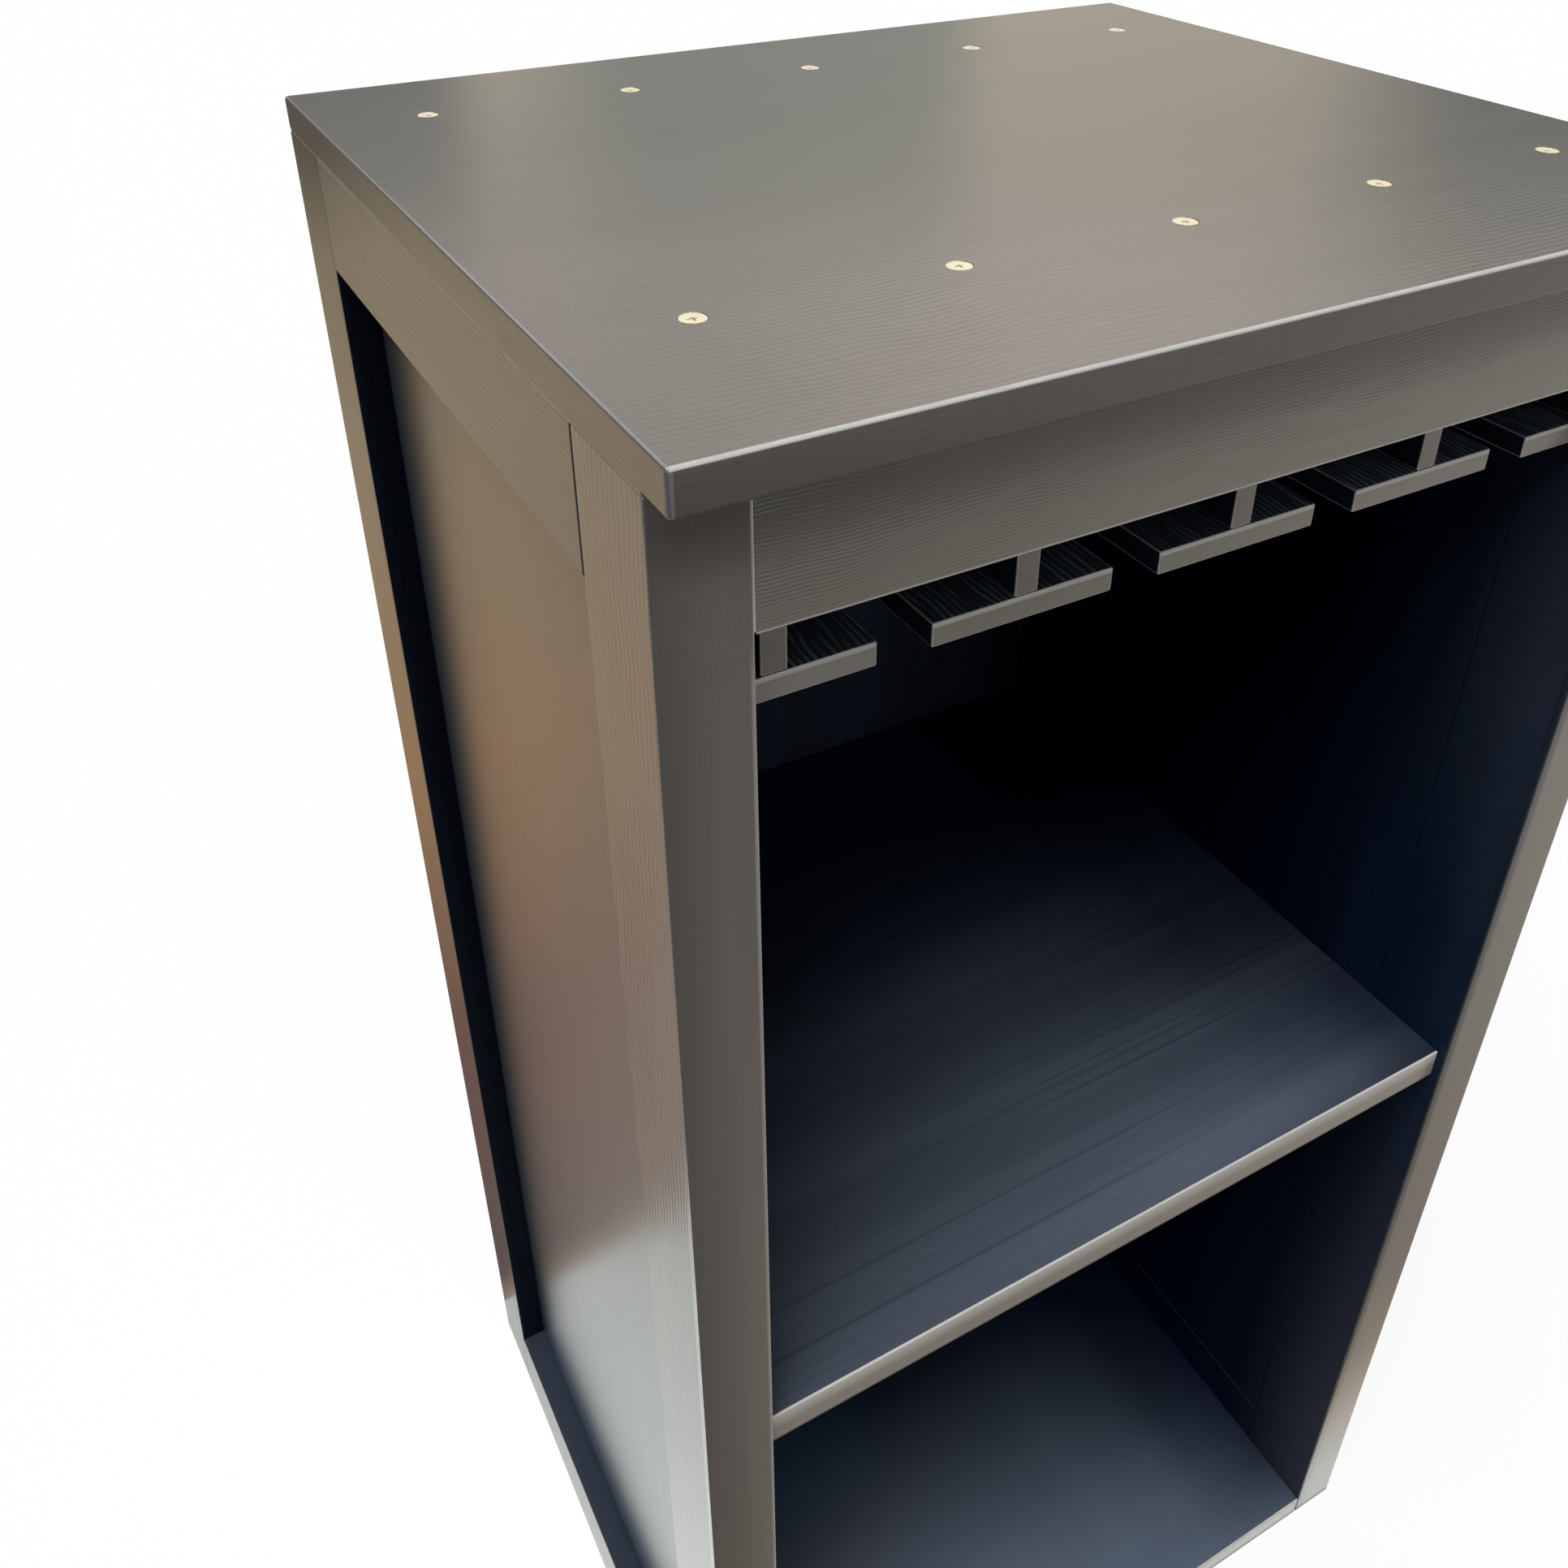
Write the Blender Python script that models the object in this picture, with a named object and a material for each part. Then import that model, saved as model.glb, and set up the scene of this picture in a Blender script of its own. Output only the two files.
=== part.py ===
"""Open-front wine cabinet with framed sides, a loose shelf and a hanging rack for stemmed glasses.

Metres, +Z up, the open front towards -Y, left and right as seen from the front.
The origin lies on the floor below the middle of the top panel.
"""

import math

import bmesh
import bpy
from mathutils import Vector

# Overall sizes
TOTAL_HEIGHT = 1.000
TOTAL_WIDTH = 0.500
BODY_DEPTH = 0.428
TOP_OVERHANG = 0.017
TOP_THICKNESS = 0.016

# Posts and rails of the two side frames
POST_WIDTH = 0.033
POST_DEPTH = 0.054
TOP_RAIL_HEIGHT = 0.054
BOTTOM_RAIL_HEIGHT = 0.054
APRON_HEIGHT = 0.055
APRON_THICKNESS = 0.021
TENON_LENGTH = 0.020
TENON_THICKNESS = 0.012
TENON_SHOULDER = 0.016

# Panels
SIDE_PANEL_THICKNESS = 0.016
TONGUE_DEPTH = 0.008
TONGUE_THICKNESS = 0.006
BACK_THICKNESS = 0.006
BACK_SETBACK = 0.004
BACK_LAP = 0.008
FLOOR_THICKNESS = 0.018

# Loose shelf and its pins
SHELF_TOP_HEIGHT = 0.500
SHELF_THICKNESS = 0.020
SHELF_SETBACK = 0.005
SHELF_PLAY = 0.0005
PIN_INSET = 0.025
PIN_PLUG_DIAMETER = 0.005
PIN_PLUG_LENGTH = 0.010
PIN_HEAD_DIAMETER = 0.007
PIN_HEAD_LENGTH = 0.009
PIN_CROWN = 0.001

# Glass rack: T-section rails hung under the top panel
RACK_RAIL_COUNT = 5
RACK_END_INSET = 0.017
RACK_DROP = 0.098
GLASS_SLOT_WIDTH = 0.022
WEB_THICKNESS = 0.010
FLANGE_THICKNESS = 0.010

# Screws with countersunk heads
RACK_SCREW_HEAD = 0.0095
RACK_SCREW_SHANK = 0.0045
RACK_SCREW_LENGTH = 0.045
RACK_SCREW_FRONT_INSET = 0.052
RACK_SCREW_REAR_INSET = 0.058
RACK_SCREW_RECESS = 0.0050
FLANGE_SCREW_HEAD = 0.0070
FLANGE_SCREW_SHANK = 0.0035
FLANGE_SCREW_LENGTH = 0.025
FLANGE_SCREW_INSET = 0.040
FLANGE_SCREW_RECESS = 0.0040
RECESS_ARM = 0.0011
RECESS_DEPTH = 0.0016
HEAD_RIM = 0.0004
HEAD_SINK = 0.0002
SCREW_POINT = 0.004

# Dowels
DOWEL_DIAMETER = 0.008
TOP_DOWEL_LENGTH = 0.024
DOWEL_IN_TOP = 0.010
FLOOR_DOWEL_LENGTH = 0.030
FLOOR_DOWEL_COUNT = 2

# Clearance between seated pieces, and softened edges
FIT_GAP = 0.0003
TOP_EASE = 0.0015
FRAME_EASE = 0.0010
THIN_EASE = 0.0008
EASE_STEPS = 2

# How far a cut runs past the face that it opens
OVERCUT = 0.002

# Sides of the round pieces; a screw's first corner lines up with its recess
SCREW_SIDES = 12
SCREW_TWIST = math.radians(45)
DOWEL_SIDES = 8
PIN_SIDES = 12

# Planes that the pieces share
TOP_DEPTH = BODY_DEPTH + TOP_OVERHANG
REAR_Y = TOP_DEPTH / 2
FRONT_Y = REAR_Y - BODY_DEPTH
TOP_FRONT_Y = -TOP_DEPTH / 2
OUTER_X = TOTAL_WIDTH / 2
INNER_X = OUTER_X - POST_WIDTH
FRAME_X = OUTER_X - POST_WIDTH / 2
PANEL_X = INNER_X + SIDE_PANEL_THICKNESS / 2
TOP_UNDERSIDE = TOTAL_HEIGHT - TOP_THICKNESS
FRAME_TOP = TOP_UNDERSIDE - FIT_GAP
BAY_FRONT_Y = FRONT_Y + POST_DEPTH
BAY_REAR_Y = REAR_Y - POST_DEPTH
BAY_MID_Y = (BAY_FRONT_Y + BAY_REAR_Y) / 2
TOP_RAIL_UNDERSIDE = FRAME_TOP - TOP_RAIL_HEIGHT
BACK_REAR_Y = REAR_Y - BACK_SETBACK
BACK_FACE_Y = BACK_REAR_Y - BACK_THICKNESS
INSIDE_REAR_Y = BACK_FACE_Y - FIT_GAP
RACK_FRONT_Y = FRONT_Y + APRON_THICKNESS + FIT_GAP
RACK_UNDERSIDE = TOP_UNDERSIDE - RACK_DROP
FLANGE_TOP = RACK_UNDERSIDE + FLANGE_THICKNESS
RACK_PITCH = 2 * (INNER_X - RACK_END_INSET) / (RACK_RAIL_COUNT - 1)
FLANGE_WIDTH = RACK_PITCH - GLASS_SLOT_WIDTH
SHELF_UNDERSIDE = SHELF_TOP_HEIGHT - SHELF_THICKNESS

RIGHT = Vector((1, 0, 0))
BACK = Vector((0, 1, 0))
UP = Vector((0, 0, 1))
SIDES = {"left": -1, "right": 1}

# Finishes: colour, roughness, metallic value
TAUPE = ((0.212, 0.190, 0.162), 0.42, 0.0)
INK = ((0.018, 0.022, 0.032), 0.45, 0.0)
BEECH = ((0.560, 0.390, 0.230), 0.70, 0.0)
YELLOW_ZINC = ((0.860, 0.740, 0.470), 0.32, 1.0)
STEEL = ((0.560, 0.560, 0.550), 0.30, 1.0)


def clear_scene():
    """Removes every object that the scene starts with."""
    for item in list(bpy.data.objects):
        bpy.data.objects.remove(item, do_unlink=True)


def finish_material(name, finish):
    """One material for one sub-part."""
    colour, roughness, metallic = finish
    material = bpy.data.materials.new(name)
    material.use_nodes = True
    shader = material.node_tree.nodes["Principled BSDF"]
    shader.inputs["Base Color"].default_value = (*colour, 1.0)
    shader.inputs["Roughness"].default_value = roughness
    shader.inputs["Metallic"].default_value = metallic
    return material


def across(axis):
    """Two directions square to an axis and to each other."""
    first = Vector((axis.z, axis.x, axis.y))
    return first, axis.cross(first)


def add_loft(bm, rings):
    """Joins rings of points, all with the same count, into one closed body."""
    loops = [[bm.verts.new(point) for point in ring] for ring in rings]
    faces = [bm.faces.new(loops[0]), bm.faces.new(loops[-1])]
    for near, far in zip(loops, loops[1:]):
        for i in range(len(near)):
            j = (i + 1) % len(near)
            faces.append(bm.faces.new((near[i], near[j], far[j], far[i])))
    bmesh.ops.recalc_face_normals(bm, faces=faces)


def round_ring(start, axis, distance, radius, sides, twist=0.0):
    """Points of a circle at a distance along an axis."""
    first, second = across(axis)
    ring = []
    for k in range(sides):
        angle = twist + 2 * math.pi * k / sides
        spoke = first * math.cos(angle) + second * math.sin(angle)
        ring.append(start + axis * distance + spoke * radius)
    return ring


def add_turned(bm, start, axis, profile, sides, twist=0.0):
    """A round body along an axis; the profile lists distance and radius."""
    add_loft(bm, [round_ring(start, axis, distance, radius, sides, twist) for distance, radius in profile])


def add_stepped(bm, start, axis, steps):
    """A square-edged body along an axis; each step lists distance and the two widths across."""
    first, second = across(axis)
    rings = []
    for distance, width, height in steps:
        centre = start + axis * distance
        corners = ((-1, -1), (1, -1), (1, 1), (-1, 1))
        rings.append([centre + first * (a * width / 2) + second * (b * height / 2) for a, b in corners])
    add_loft(bm, rings)


def add_box(bm, low, high):
    """A box between two corners."""
    low, high = Vector(low), Vector(high)
    size = high - low
    start = Vector(((low.x + high.x) / 2, (low.y + high.y) / 2, low.z))
    add_stepped(bm, start, UP, [(0, size.x, size.y), (size.z, size.x, size.y)])


def make_mesh(bm, name, finish, smooth=False):
    """A mesh with its own finish; round pieces are shaded smooth between their sharp edges."""
    mesh = bpy.data.meshes.new(name)
    bm.to_mesh(mesh)
    bm.free()
    if smooth:
        mesh.shade_smooth()
        mesh.set_sharp_from_angle(angle=math.radians(40))
    mesh.materials.append(finish_material(name, finish))
    return mesh


def place(name, mesh, location, parent, turn=(0, 0, 0)):
    """A named piece at its place in the cabinet."""
    item = bpy.data.objects.new(name, mesh)
    item.location = location
    item.rotation_euler = turn
    item.parent = parent
    bpy.context.collection.objects.link(item)
    return item


def make_object(bm, name, centre, finish, parent):
    """Turns a mesh in cabinet coordinates into a named piece with its origin at centre."""
    bmesh.ops.translate(bm, vec=-Vector(centre), verts=bm.verts)
    return place(name, make_mesh(bm, name, finish), centre, parent)


def make_cutter(bm, name):
    """Keeps a cutting shape out of the model itself."""
    mesh = bpy.data.meshes.new(name)
    bm.to_mesh(mesh)
    bm.free()
    cutter = bpy.data.objects.new(name, mesh)
    cutter.hide_render = True
    cutter.display_type = "WIRE"
    bpy.context.collection.objects.link(cutter)
    return cutter


def cut(item, *cutters):
    """Takes each cutter's shape out of a piece."""
    for cutter in cutters:
        modifier = item.modifiers.new(cutter.name, "BOOLEAN")
        modifier.operation = "DIFFERENCE"
        modifier.solver = "EXACT"
        modifier.object = cutter


def ease_edges(bm, edges, ease):
    """Rounds the chosen arrises slightly, as a sanding pass does."""
    bmesh.ops.bevel(
        bm, geom=edges, offset=ease, segments=EASE_STEPS, profile=0.5, affect="EDGES", clamp_overlap=True
    )


def board(name, low, high, ease, finish, parent):
    """A plain board with every arris eased."""
    bm = bmesh.new()
    add_box(bm, low, high)
    ease_edges(bm, bm.edges[:], ease)
    centre = (Vector(low) + Vector(high)) / 2
    return make_object(bm, name, centre, finish, parent)


def stepped_member(name, start, axis, steps, ease, finish, parent):
    """A rail or panel that ends in tenons or tongues; only its long arrises are eased."""
    bm = bmesh.new()
    add_stepped(bm, start, axis, steps)
    longest = max(edge.calc_length() for edge in bm.edges)
    if ease:
        ease_edges(bm, [edge for edge in bm.edges if edge.calc_length() > 0.9 * longest], ease)
    centre = start + axis * (steps[-1][0] / 2)
    return make_object(bm, name, centre, finish, parent)


def tenoned_steps(length, width, height, tenon_width, tenon_height):
    """Cross-sections of a rail with a tenon on both ends."""
    tenon = (tenon_width, tenon_height)
    body = (width, height)
    ends = TENON_LENGTH + length
    return [
        (0, *tenon),
        (TENON_LENGTH, *tenon),
        (TENON_LENGTH, *body),
        (ends, *body),
        (ends, *tenon),
        (ends + TENON_LENGTH, *tenon),
    ]


def cross_ring(height, span):
    """The twelve corners of a cross with square arms, in a plane of equal height."""
    arm = RECESS_ARM / 2
    quarter = ((arm, arm), (arm, span / 2), (-arm, span / 2))
    points = []
    for turn in range(4):
        cosine = round(math.cos(turn * math.pi / 2))
        sine = round(math.sin(turn * math.pi / 2))
        for x, y in quarter:
            points.append(Vector((x * cosine - y * sine, x * sine + y * cosine, height)))
    return points


def screw_profile(head, shank, length):
    """Distance below the head's face and radius, from the point of a countersunk screw to its rim."""
    cone = (head - shank) / 2
    return [
        (length, shank / 8),
        (length - SCREW_POINT, shank / 2),
        (HEAD_RIM + cone, shank / 2),
        (HEAD_RIM, head / 2),
        (0, head / 2),
    ]


def screw_mesh(name, head, shank, length, recess):
    """A countersunk screw with a cross recess: its face lies at the origin and its point below."""
    bm = bmesh.new()
    rings = []
    for depth, radius in screw_profile(head, shank, length):
        rings.append(round_ring(Vector(), UP, -depth, radius, SCREW_SIDES, SCREW_TWIST))
    rings.append(cross_ring(0, recess))
    rings.append(cross_ring(-RECESS_DEPTH, recess / 2))
    add_loft(bm, rings)
    return make_mesh(bm, name, YELLOW_ZINC, smooth=True)


def screw_holes(name, heads, axis, head, shank, length):
    """Cutter for the holes of a group of screws, each a clearance wider than its screw."""
    bm = bmesh.new()
    profile = [(depth, radius + FIT_GAP) for depth, radius in screw_profile(head, shank, length)]
    deepest = profile[0]
    mouth = profile[-1]
    profile = [(deepest[0] + FIT_GAP, deepest[1])] + profile[1:-1] + [(mouth[0] - OVERCUT, mouth[1])]
    for start in heads:
        add_turned(bm, start, axis, profile, SCREW_SIDES, SCREW_TWIST)
    return make_cutter(bm, name)


def dowel_mesh(name, length):
    """A plain glued dowel along Z, centred on the origin."""
    bm = bmesh.new()
    radius = DOWEL_DIAMETER / 2
    add_turned(bm, -UP * length / 2, UP, [(0, radius), (length, radius)], DOWEL_SIDES)
    return make_mesh(bm, name, BEECH, smooth=True)


def dowel_holes(name, middles, axis, length):
    """Cutter for the holes of a group of dowels."""
    bm = bmesh.new()
    radius = DOWEL_DIAMETER / 2 + FIT_GAP
    reach = length / 2 + FIT_GAP
    for middle in middles:
        add_turned(bm, middle, axis, [(-reach, radius), (reach, radius)], DOWEL_SIDES)
    return make_cutter(bm, name)


def place_all(stem, mesh, places, parent, turn=(0, 0, 0)):
    """Equal pieces, numbered from one."""
    for number, location in enumerate(places, start=1):
        place(f"{stem}_{number}", mesh, location, parent, turn)


def evenly(first, last, count):
    """Evenly spaced values from first to last."""
    return [first + (last - first) * k / (count - 1) for k in range(count)]


def rack_centres():
    """The middle of each glass rail, from left to right."""
    return evenly(-(INNER_X - RACK_END_INSET), INNER_X - RACK_END_INSET, RACK_RAIL_COUNT)


def build_rack_screws(parent):
    """Two screws through the top panel into each rail's web; returns the cutter for their holes."""
    size = (RACK_SCREW_HEAD, RACK_SCREW_SHANK, RACK_SCREW_LENGTH)
    rows = (RACK_FRONT_Y + RACK_SCREW_FRONT_INSET, INSIDE_REAR_Y - RACK_SCREW_REAR_INSET)
    heads = [Vector((x, y, TOTAL_HEIGHT - HEAD_SINK)) for y in rows for x in rack_centres()]
    place_all("rack_screw", screw_mesh("rack_screw", *size, RACK_SCREW_RECESS), heads, parent)
    return screw_holes("rack_screw_holes", heads, -UP, *size)


def build_flange_screws(parent):
    """Two screws from below through each flange into its web; returns the cutter for their holes."""
    size = (FLANGE_SCREW_HEAD, FLANGE_SCREW_SHANK, FLANGE_SCREW_LENGTH)
    rows = (RACK_FRONT_Y + FLANGE_SCREW_INSET, INSIDE_REAR_Y - FLANGE_SCREW_INSET)
    heads = [Vector((x, y, RACK_UNDERSIDE + HEAD_SINK)) for y in rows for x in rack_centres()]
    mesh = screw_mesh("flange_screw", *size, FLANGE_SCREW_RECESS)
    place_all("flange_screw", mesh, heads, parent, turn=(math.pi, 0, 0))
    return screw_holes("flange_screw_holes", heads, UP, *size)


def build_top_dowels(parent):
    """Blind dowels that hold the top panel on the posts; returns the cutter for their holes."""
    z = TOP_UNDERSIDE + DOWEL_IN_TOP - TOP_DOWEL_LENGTH / 2
    rows = (FRONT_Y + POST_DEPTH / 2, REAR_Y - POST_DEPTH / 2)
    middles = [Vector((side * FRAME_X, y, z)) for y in rows for side in SIDES.values()]
    place_all("top_dowel", dowel_mesh("top_dowel", TOP_DOWEL_LENGTH), middles, parent)
    return dowel_holes("top_dowel_holes", middles, UP, TOP_DOWEL_LENGTH)


def build_floor_dowels(parent):
    """Dowels from the floor panel's ends into the lower rails; returns the cutter for their holes."""
    spacing = (BAY_REAR_Y - BAY_FRONT_Y) / (FLOOR_DOWEL_COUNT + 1)
    rows = [BAY_FRONT_Y + spacing * (k + 1) for k in range(FLOOR_DOWEL_COUNT)]
    middles = [Vector((side * INNER_X, y, FLOOR_THICKNESS / 2)) for y in rows for side in SIDES.values()]
    mesh = dowel_mesh("floor_dowel", FLOOR_DOWEL_LENGTH)
    place_all("floor_dowel", mesh, middles, parent, turn=(0, math.pi / 2, 0))
    return dowel_holes("floor_dowel_holes", middles, RIGHT, FLOOR_DOWEL_LENGTH)


def build_shelf_pins(parent):
    """Four turned pins, each a plug in the side panel and a head that carries the shelf."""
    plug = PIN_PLUG_DIAMETER / 2
    head = PIN_HEAD_DIAMETER / 2
    wall = PIN_PLUG_LENGTH
    shoulder = wall + FIT_GAP
    tip = shoulder + PIN_HEAD_LENGTH
    pin = bmesh.new()
    outline = [(0, plug), (shoulder, plug), (shoulder, head)]
    outline += [(tip - PIN_CROWN, head), (tip, head - PIN_CROWN)]
    add_turned(pin, Vector(), UP, outline, PIN_SIDES)
    mesh = make_mesh(pin, "shelf_pin", STEEL, smooth=True)
    z = SHELF_UNDERSIDE - FIT_GAP - head
    rows = {"front": BAY_FRONT_Y + PIN_INSET, "rear": BAY_REAR_Y - PIN_INSET}
    holes = bmesh.new()
    hole = [(-FIT_GAP, plug + FIT_GAP), (wall + OVERCUT, plug + FIT_GAP)]
    for label, side in SIDES.items():
        for row, y in rows.items():
            start = Vector((side * (INNER_X + wall), y, z))
            place(f"shelf_pin_{row}_{label}", mesh, start, parent, turn=(0, -side * math.pi / 2, 0))
            add_turned(holes, start, -RIGHT * side, hole, PIN_SIDES)
    return make_cutter(holes, "shelf_pin_holes")


def build_top_panel(parent, rack_holes, dowel_holes):
    """The top: flush at the sides and the rear, standing out at the front."""
    low = (-OUTER_X, TOP_FRONT_Y, TOP_UNDERSIDE)
    high = (OUTER_X, REAR_Y, TOTAL_HEIGHT)
    panel = board("top_panel", low, high, TOP_EASE, TAUPE, parent)
    cut(panel, rack_holes, dowel_holes)


def rail_tenon_sizes(height):
    """Length along Z, then along X, of a rail's tenon."""
    return height - 2 * TENON_SHOULDER, TENON_THICKNESS


def add_rail_mortise(bm, side, face_y, into, rail_low, rail_height):
    """The mortise in a post for one side rail's tenon."""
    height, thickness = rail_tenon_sizes(rail_height)
    middle = Vector((side * FRAME_X, face_y, rail_low + rail_height / 2))
    depth = TENON_LENGTH + FIT_GAP
    wide = (height + 2 * FIT_GAP, thickness + 2 * FIT_GAP)
    add_stepped(bm, middle - into * OVERCUT, into, [(0, *wide), (OVERCUT + depth, *wide)])


def add_panel_groove(bm, side, face_y, into):
    """The stopped groove in a post for the side panel's tongue."""
    low = BOTTOM_RAIL_HEIGHT - TONGUE_DEPTH
    high = TOP_RAIL_UNDERSIDE + TONGUE_DEPTH
    middle = Vector((side * PANEL_X, face_y, (low + high) / 2))
    depth = TONGUE_DEPTH + FIT_GAP
    wide = (high - low + 2 * FIT_GAP, TONGUE_THICKNESS + 2 * FIT_GAP)
    add_stepped(bm, middle - into * OVERCUT, into, [(0, *wide), (OVERCUT + depth, *wide)])


def add_bay_joints(bm, side, face_y, into):
    """Both rail mortises and the panel groove in the face that a post turns to the side bay."""
    add_rail_mortise(bm, side, face_y, into, TOP_RAIL_UNDERSIDE, TOP_RAIL_HEIGHT)
    add_rail_mortise(bm, side, face_y, into, 0, BOTTOM_RAIL_HEIGHT)
    add_panel_groove(bm, side, face_y, into)


def apron_tenon_sizes():
    """Length along Y, then along Z, of the apron's tenon."""
    return TENON_THICKNESS, APRON_HEIGHT - 2 * TENON_SHOULDER


def build_front_post(label, side, parent, dowel_holes):
    """A front post, mortised for the apron and the side rails."""
    low = (min(side * INNER_X, side * OUTER_X), FRONT_Y, 0)
    high = (max(side * INNER_X, side * OUTER_X), BAY_FRONT_Y, FRAME_TOP)
    post = board("front_post_" + label, low, high, FRAME_EASE, TAUPE, parent)
    bm = bmesh.new()
    add_bay_joints(bm, side, BAY_FRONT_Y, -BACK)
    width, height = apron_tenon_sizes()
    middle = Vector((side * INNER_X, FRONT_Y + APRON_THICKNESS / 2, FRAME_TOP - APRON_HEIGHT / 2))
    wide = (width + 2 * FIT_GAP, height + 2 * FIT_GAP)
    into = RIGHT * side
    depth = TENON_LENGTH + FIT_GAP
    add_stepped(bm, middle - into * OVERCUT, into, [(0, *wide), (OVERCUT + depth, *wide)])
    cut(post, make_cutter(bm, post.name + "_joints"), dowel_holes)


def build_rear_post(label, side, parent, dowel_holes):
    """A rear post, grooved for the back panel and mortised for the side rails."""
    low = (min(side * INNER_X, side * OUTER_X), BAY_REAR_Y, 0)
    high = (max(side * INNER_X, side * OUTER_X), REAR_Y, FRAME_TOP)
    post = board("rear_post_" + label, low, high, FRAME_EASE, TAUPE, parent)
    bm = bmesh.new()
    add_bay_joints(bm, side, BAY_REAR_Y, BACK)
    mouth = side * (INNER_X - OVERCUT)
    bottom = side * (INNER_X + BACK_LAP)
    groove_low = (min(mouth, bottom), BACK_FACE_Y - FIT_GAP, -OVERCUT)
    groove_high = (max(mouth, bottom), BACK_REAR_Y + FIT_GAP, FRAME_TOP + OVERCUT)
    add_box(bm, groove_low, groove_high)
    cut(post, make_cutter(bm, post.name + "_joints"), dowel_holes)


def build_side_rail(name, side, low_z, height, groove_z, parent):
    """A side rail between two posts, tenoned at both ends and grooved for the panel."""
    length = BAY_REAR_Y - BAY_FRONT_Y - 2 * FIT_GAP
    tenon_height, tenon_width = rail_tenon_sizes(height)
    steps = tenoned_steps(length, height, POST_WIDTH, tenon_height, tenon_width)
    start = Vector((side * FRAME_X, BAY_FRONT_Y + FIT_GAP - TENON_LENGTH, low_z + height / 2))
    rail = stepped_member(name, start, BACK, steps, FRAME_EASE, TAUPE, parent)
    bm = bmesh.new()
    half = TONGUE_THICKNESS / 2 + FIT_GAP
    x = side * PANEL_X
    groove_low = (x - half, BAY_FRONT_Y - OVERCUT, groove_z[0])
    groove_high = (x + half, BAY_REAR_Y + OVERCUT, groove_z[1])
    add_box(bm, groove_low, groove_high)
    cut(rail, make_cutter(bm, name + "_groove"))
    return rail


def build_side_panel(label, side, parent, pin_holes):
    """A side panel, flush inside, with a tongue all round that sits in the frame's grooves."""
    width = BAY_REAR_Y - BAY_FRONT_Y - 2 * FIT_GAP
    height = TOP_RAIL_UNDERSIDE - BOTTOM_RAIL_HEIGHT - 2 * FIT_GAP
    tongue = (width + 2 * TONGUE_DEPTH, height + 2 * TONGUE_DEPTH)
    shoulder = (SIDE_PANEL_THICKNESS - TONGUE_THICKNESS) / 2
    steps = [
        (0, width, height),
        (shoulder, width, height),
        (shoulder, *tongue),
        (shoulder + TONGUE_THICKNESS, *tongue),
        (shoulder + TONGUE_THICKNESS, width, height),
        (SIDE_PANEL_THICKNESS, width, height),
    ]
    middle_z = (TOP_RAIL_UNDERSIDE + BOTTOM_RAIL_HEIGHT) / 2
    start = Vector((side * PANEL_X - SIDE_PANEL_THICKNESS / 2, BAY_MID_Y, middle_z))
    panel = stepped_member("side_panel_" + label, start, RIGHT, steps, 0, TAUPE, parent)
    cut(panel, pin_holes)


def build_apron(parent):
    """The rail across the front, flush with the posts, that hides the rack's upper part."""
    length = 2 * (INNER_X - FIT_GAP)
    steps = tenoned_steps(length, APRON_THICKNESS, APRON_HEIGHT, *apron_tenon_sizes())
    middle_y = FRONT_Y + APRON_THICKNESS / 2
    start = Vector((-length / 2 - TENON_LENGTH, middle_y, FRAME_TOP - APRON_HEIGHT / 2))
    stepped_member("front_apron", start, RIGHT, steps, FRAME_EASE, TAUPE, parent)


def build_back_panel(parent):
    """The back, slid into the grooves of the rear posts."""
    half = INNER_X + BACK_LAP - FIT_GAP
    board("back_panel", (-half, BACK_FACE_Y, 0), (half, BACK_REAR_Y, FRAME_TOP), THIN_EASE, INK, parent)


def build_floor_panel(parent, dowel_holes):
    """The bottom of the lower compartment, with its front edge flush with the posts."""
    half = INNER_X - FIT_GAP
    low = (-half, FRONT_Y, 0)
    panel = board("floor_panel", low, (half, INSIDE_REAR_Y, FLOOR_THICKNESS), FRAME_EASE, INK, parent)
    cut(panel, dowel_holes)


def build_shelf(parent):
    """The loose shelf, which lies on the pins and draws out to the front."""
    half = INNER_X - SHELF_PLAY
    low = (-half, FRONT_Y + SHELF_SETBACK, SHELF_UNDERSIDE)
    board("shelf", low, (half, BACK_FACE_Y - SHELF_PLAY, SHELF_TOP_HEIGHT), FRAME_EASE, INK, parent)


def build_rack_rail(number, x, parent, rack_holes, flange_holes):
    """One glass rail: an upright web and a flange under it, cut short where it meets a side wall."""
    half = WEB_THICKNESS / 2
    low = (x - half, RACK_FRONT_Y, FLANGE_TOP + FIT_GAP)
    high = (x + half, INSIDE_REAR_Y, FRAME_TOP)
    web = board(f"rack_web_{number}", low, high, THIN_EASE, TAUPE, parent)
    wall = INNER_X - FIT_GAP
    low = (max(x - FLANGE_WIDTH / 2, -wall), RACK_FRONT_Y, RACK_UNDERSIDE)
    high = (min(x + FLANGE_WIDTH / 2, wall), INSIDE_REAR_Y, FLANGE_TOP)
    flange = board(f"rack_flange_{number}", low, high, THIN_EASE, TAUPE, parent)
    cut(web, rack_holes, flange_holes)
    cut(flange, flange_holes)


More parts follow.
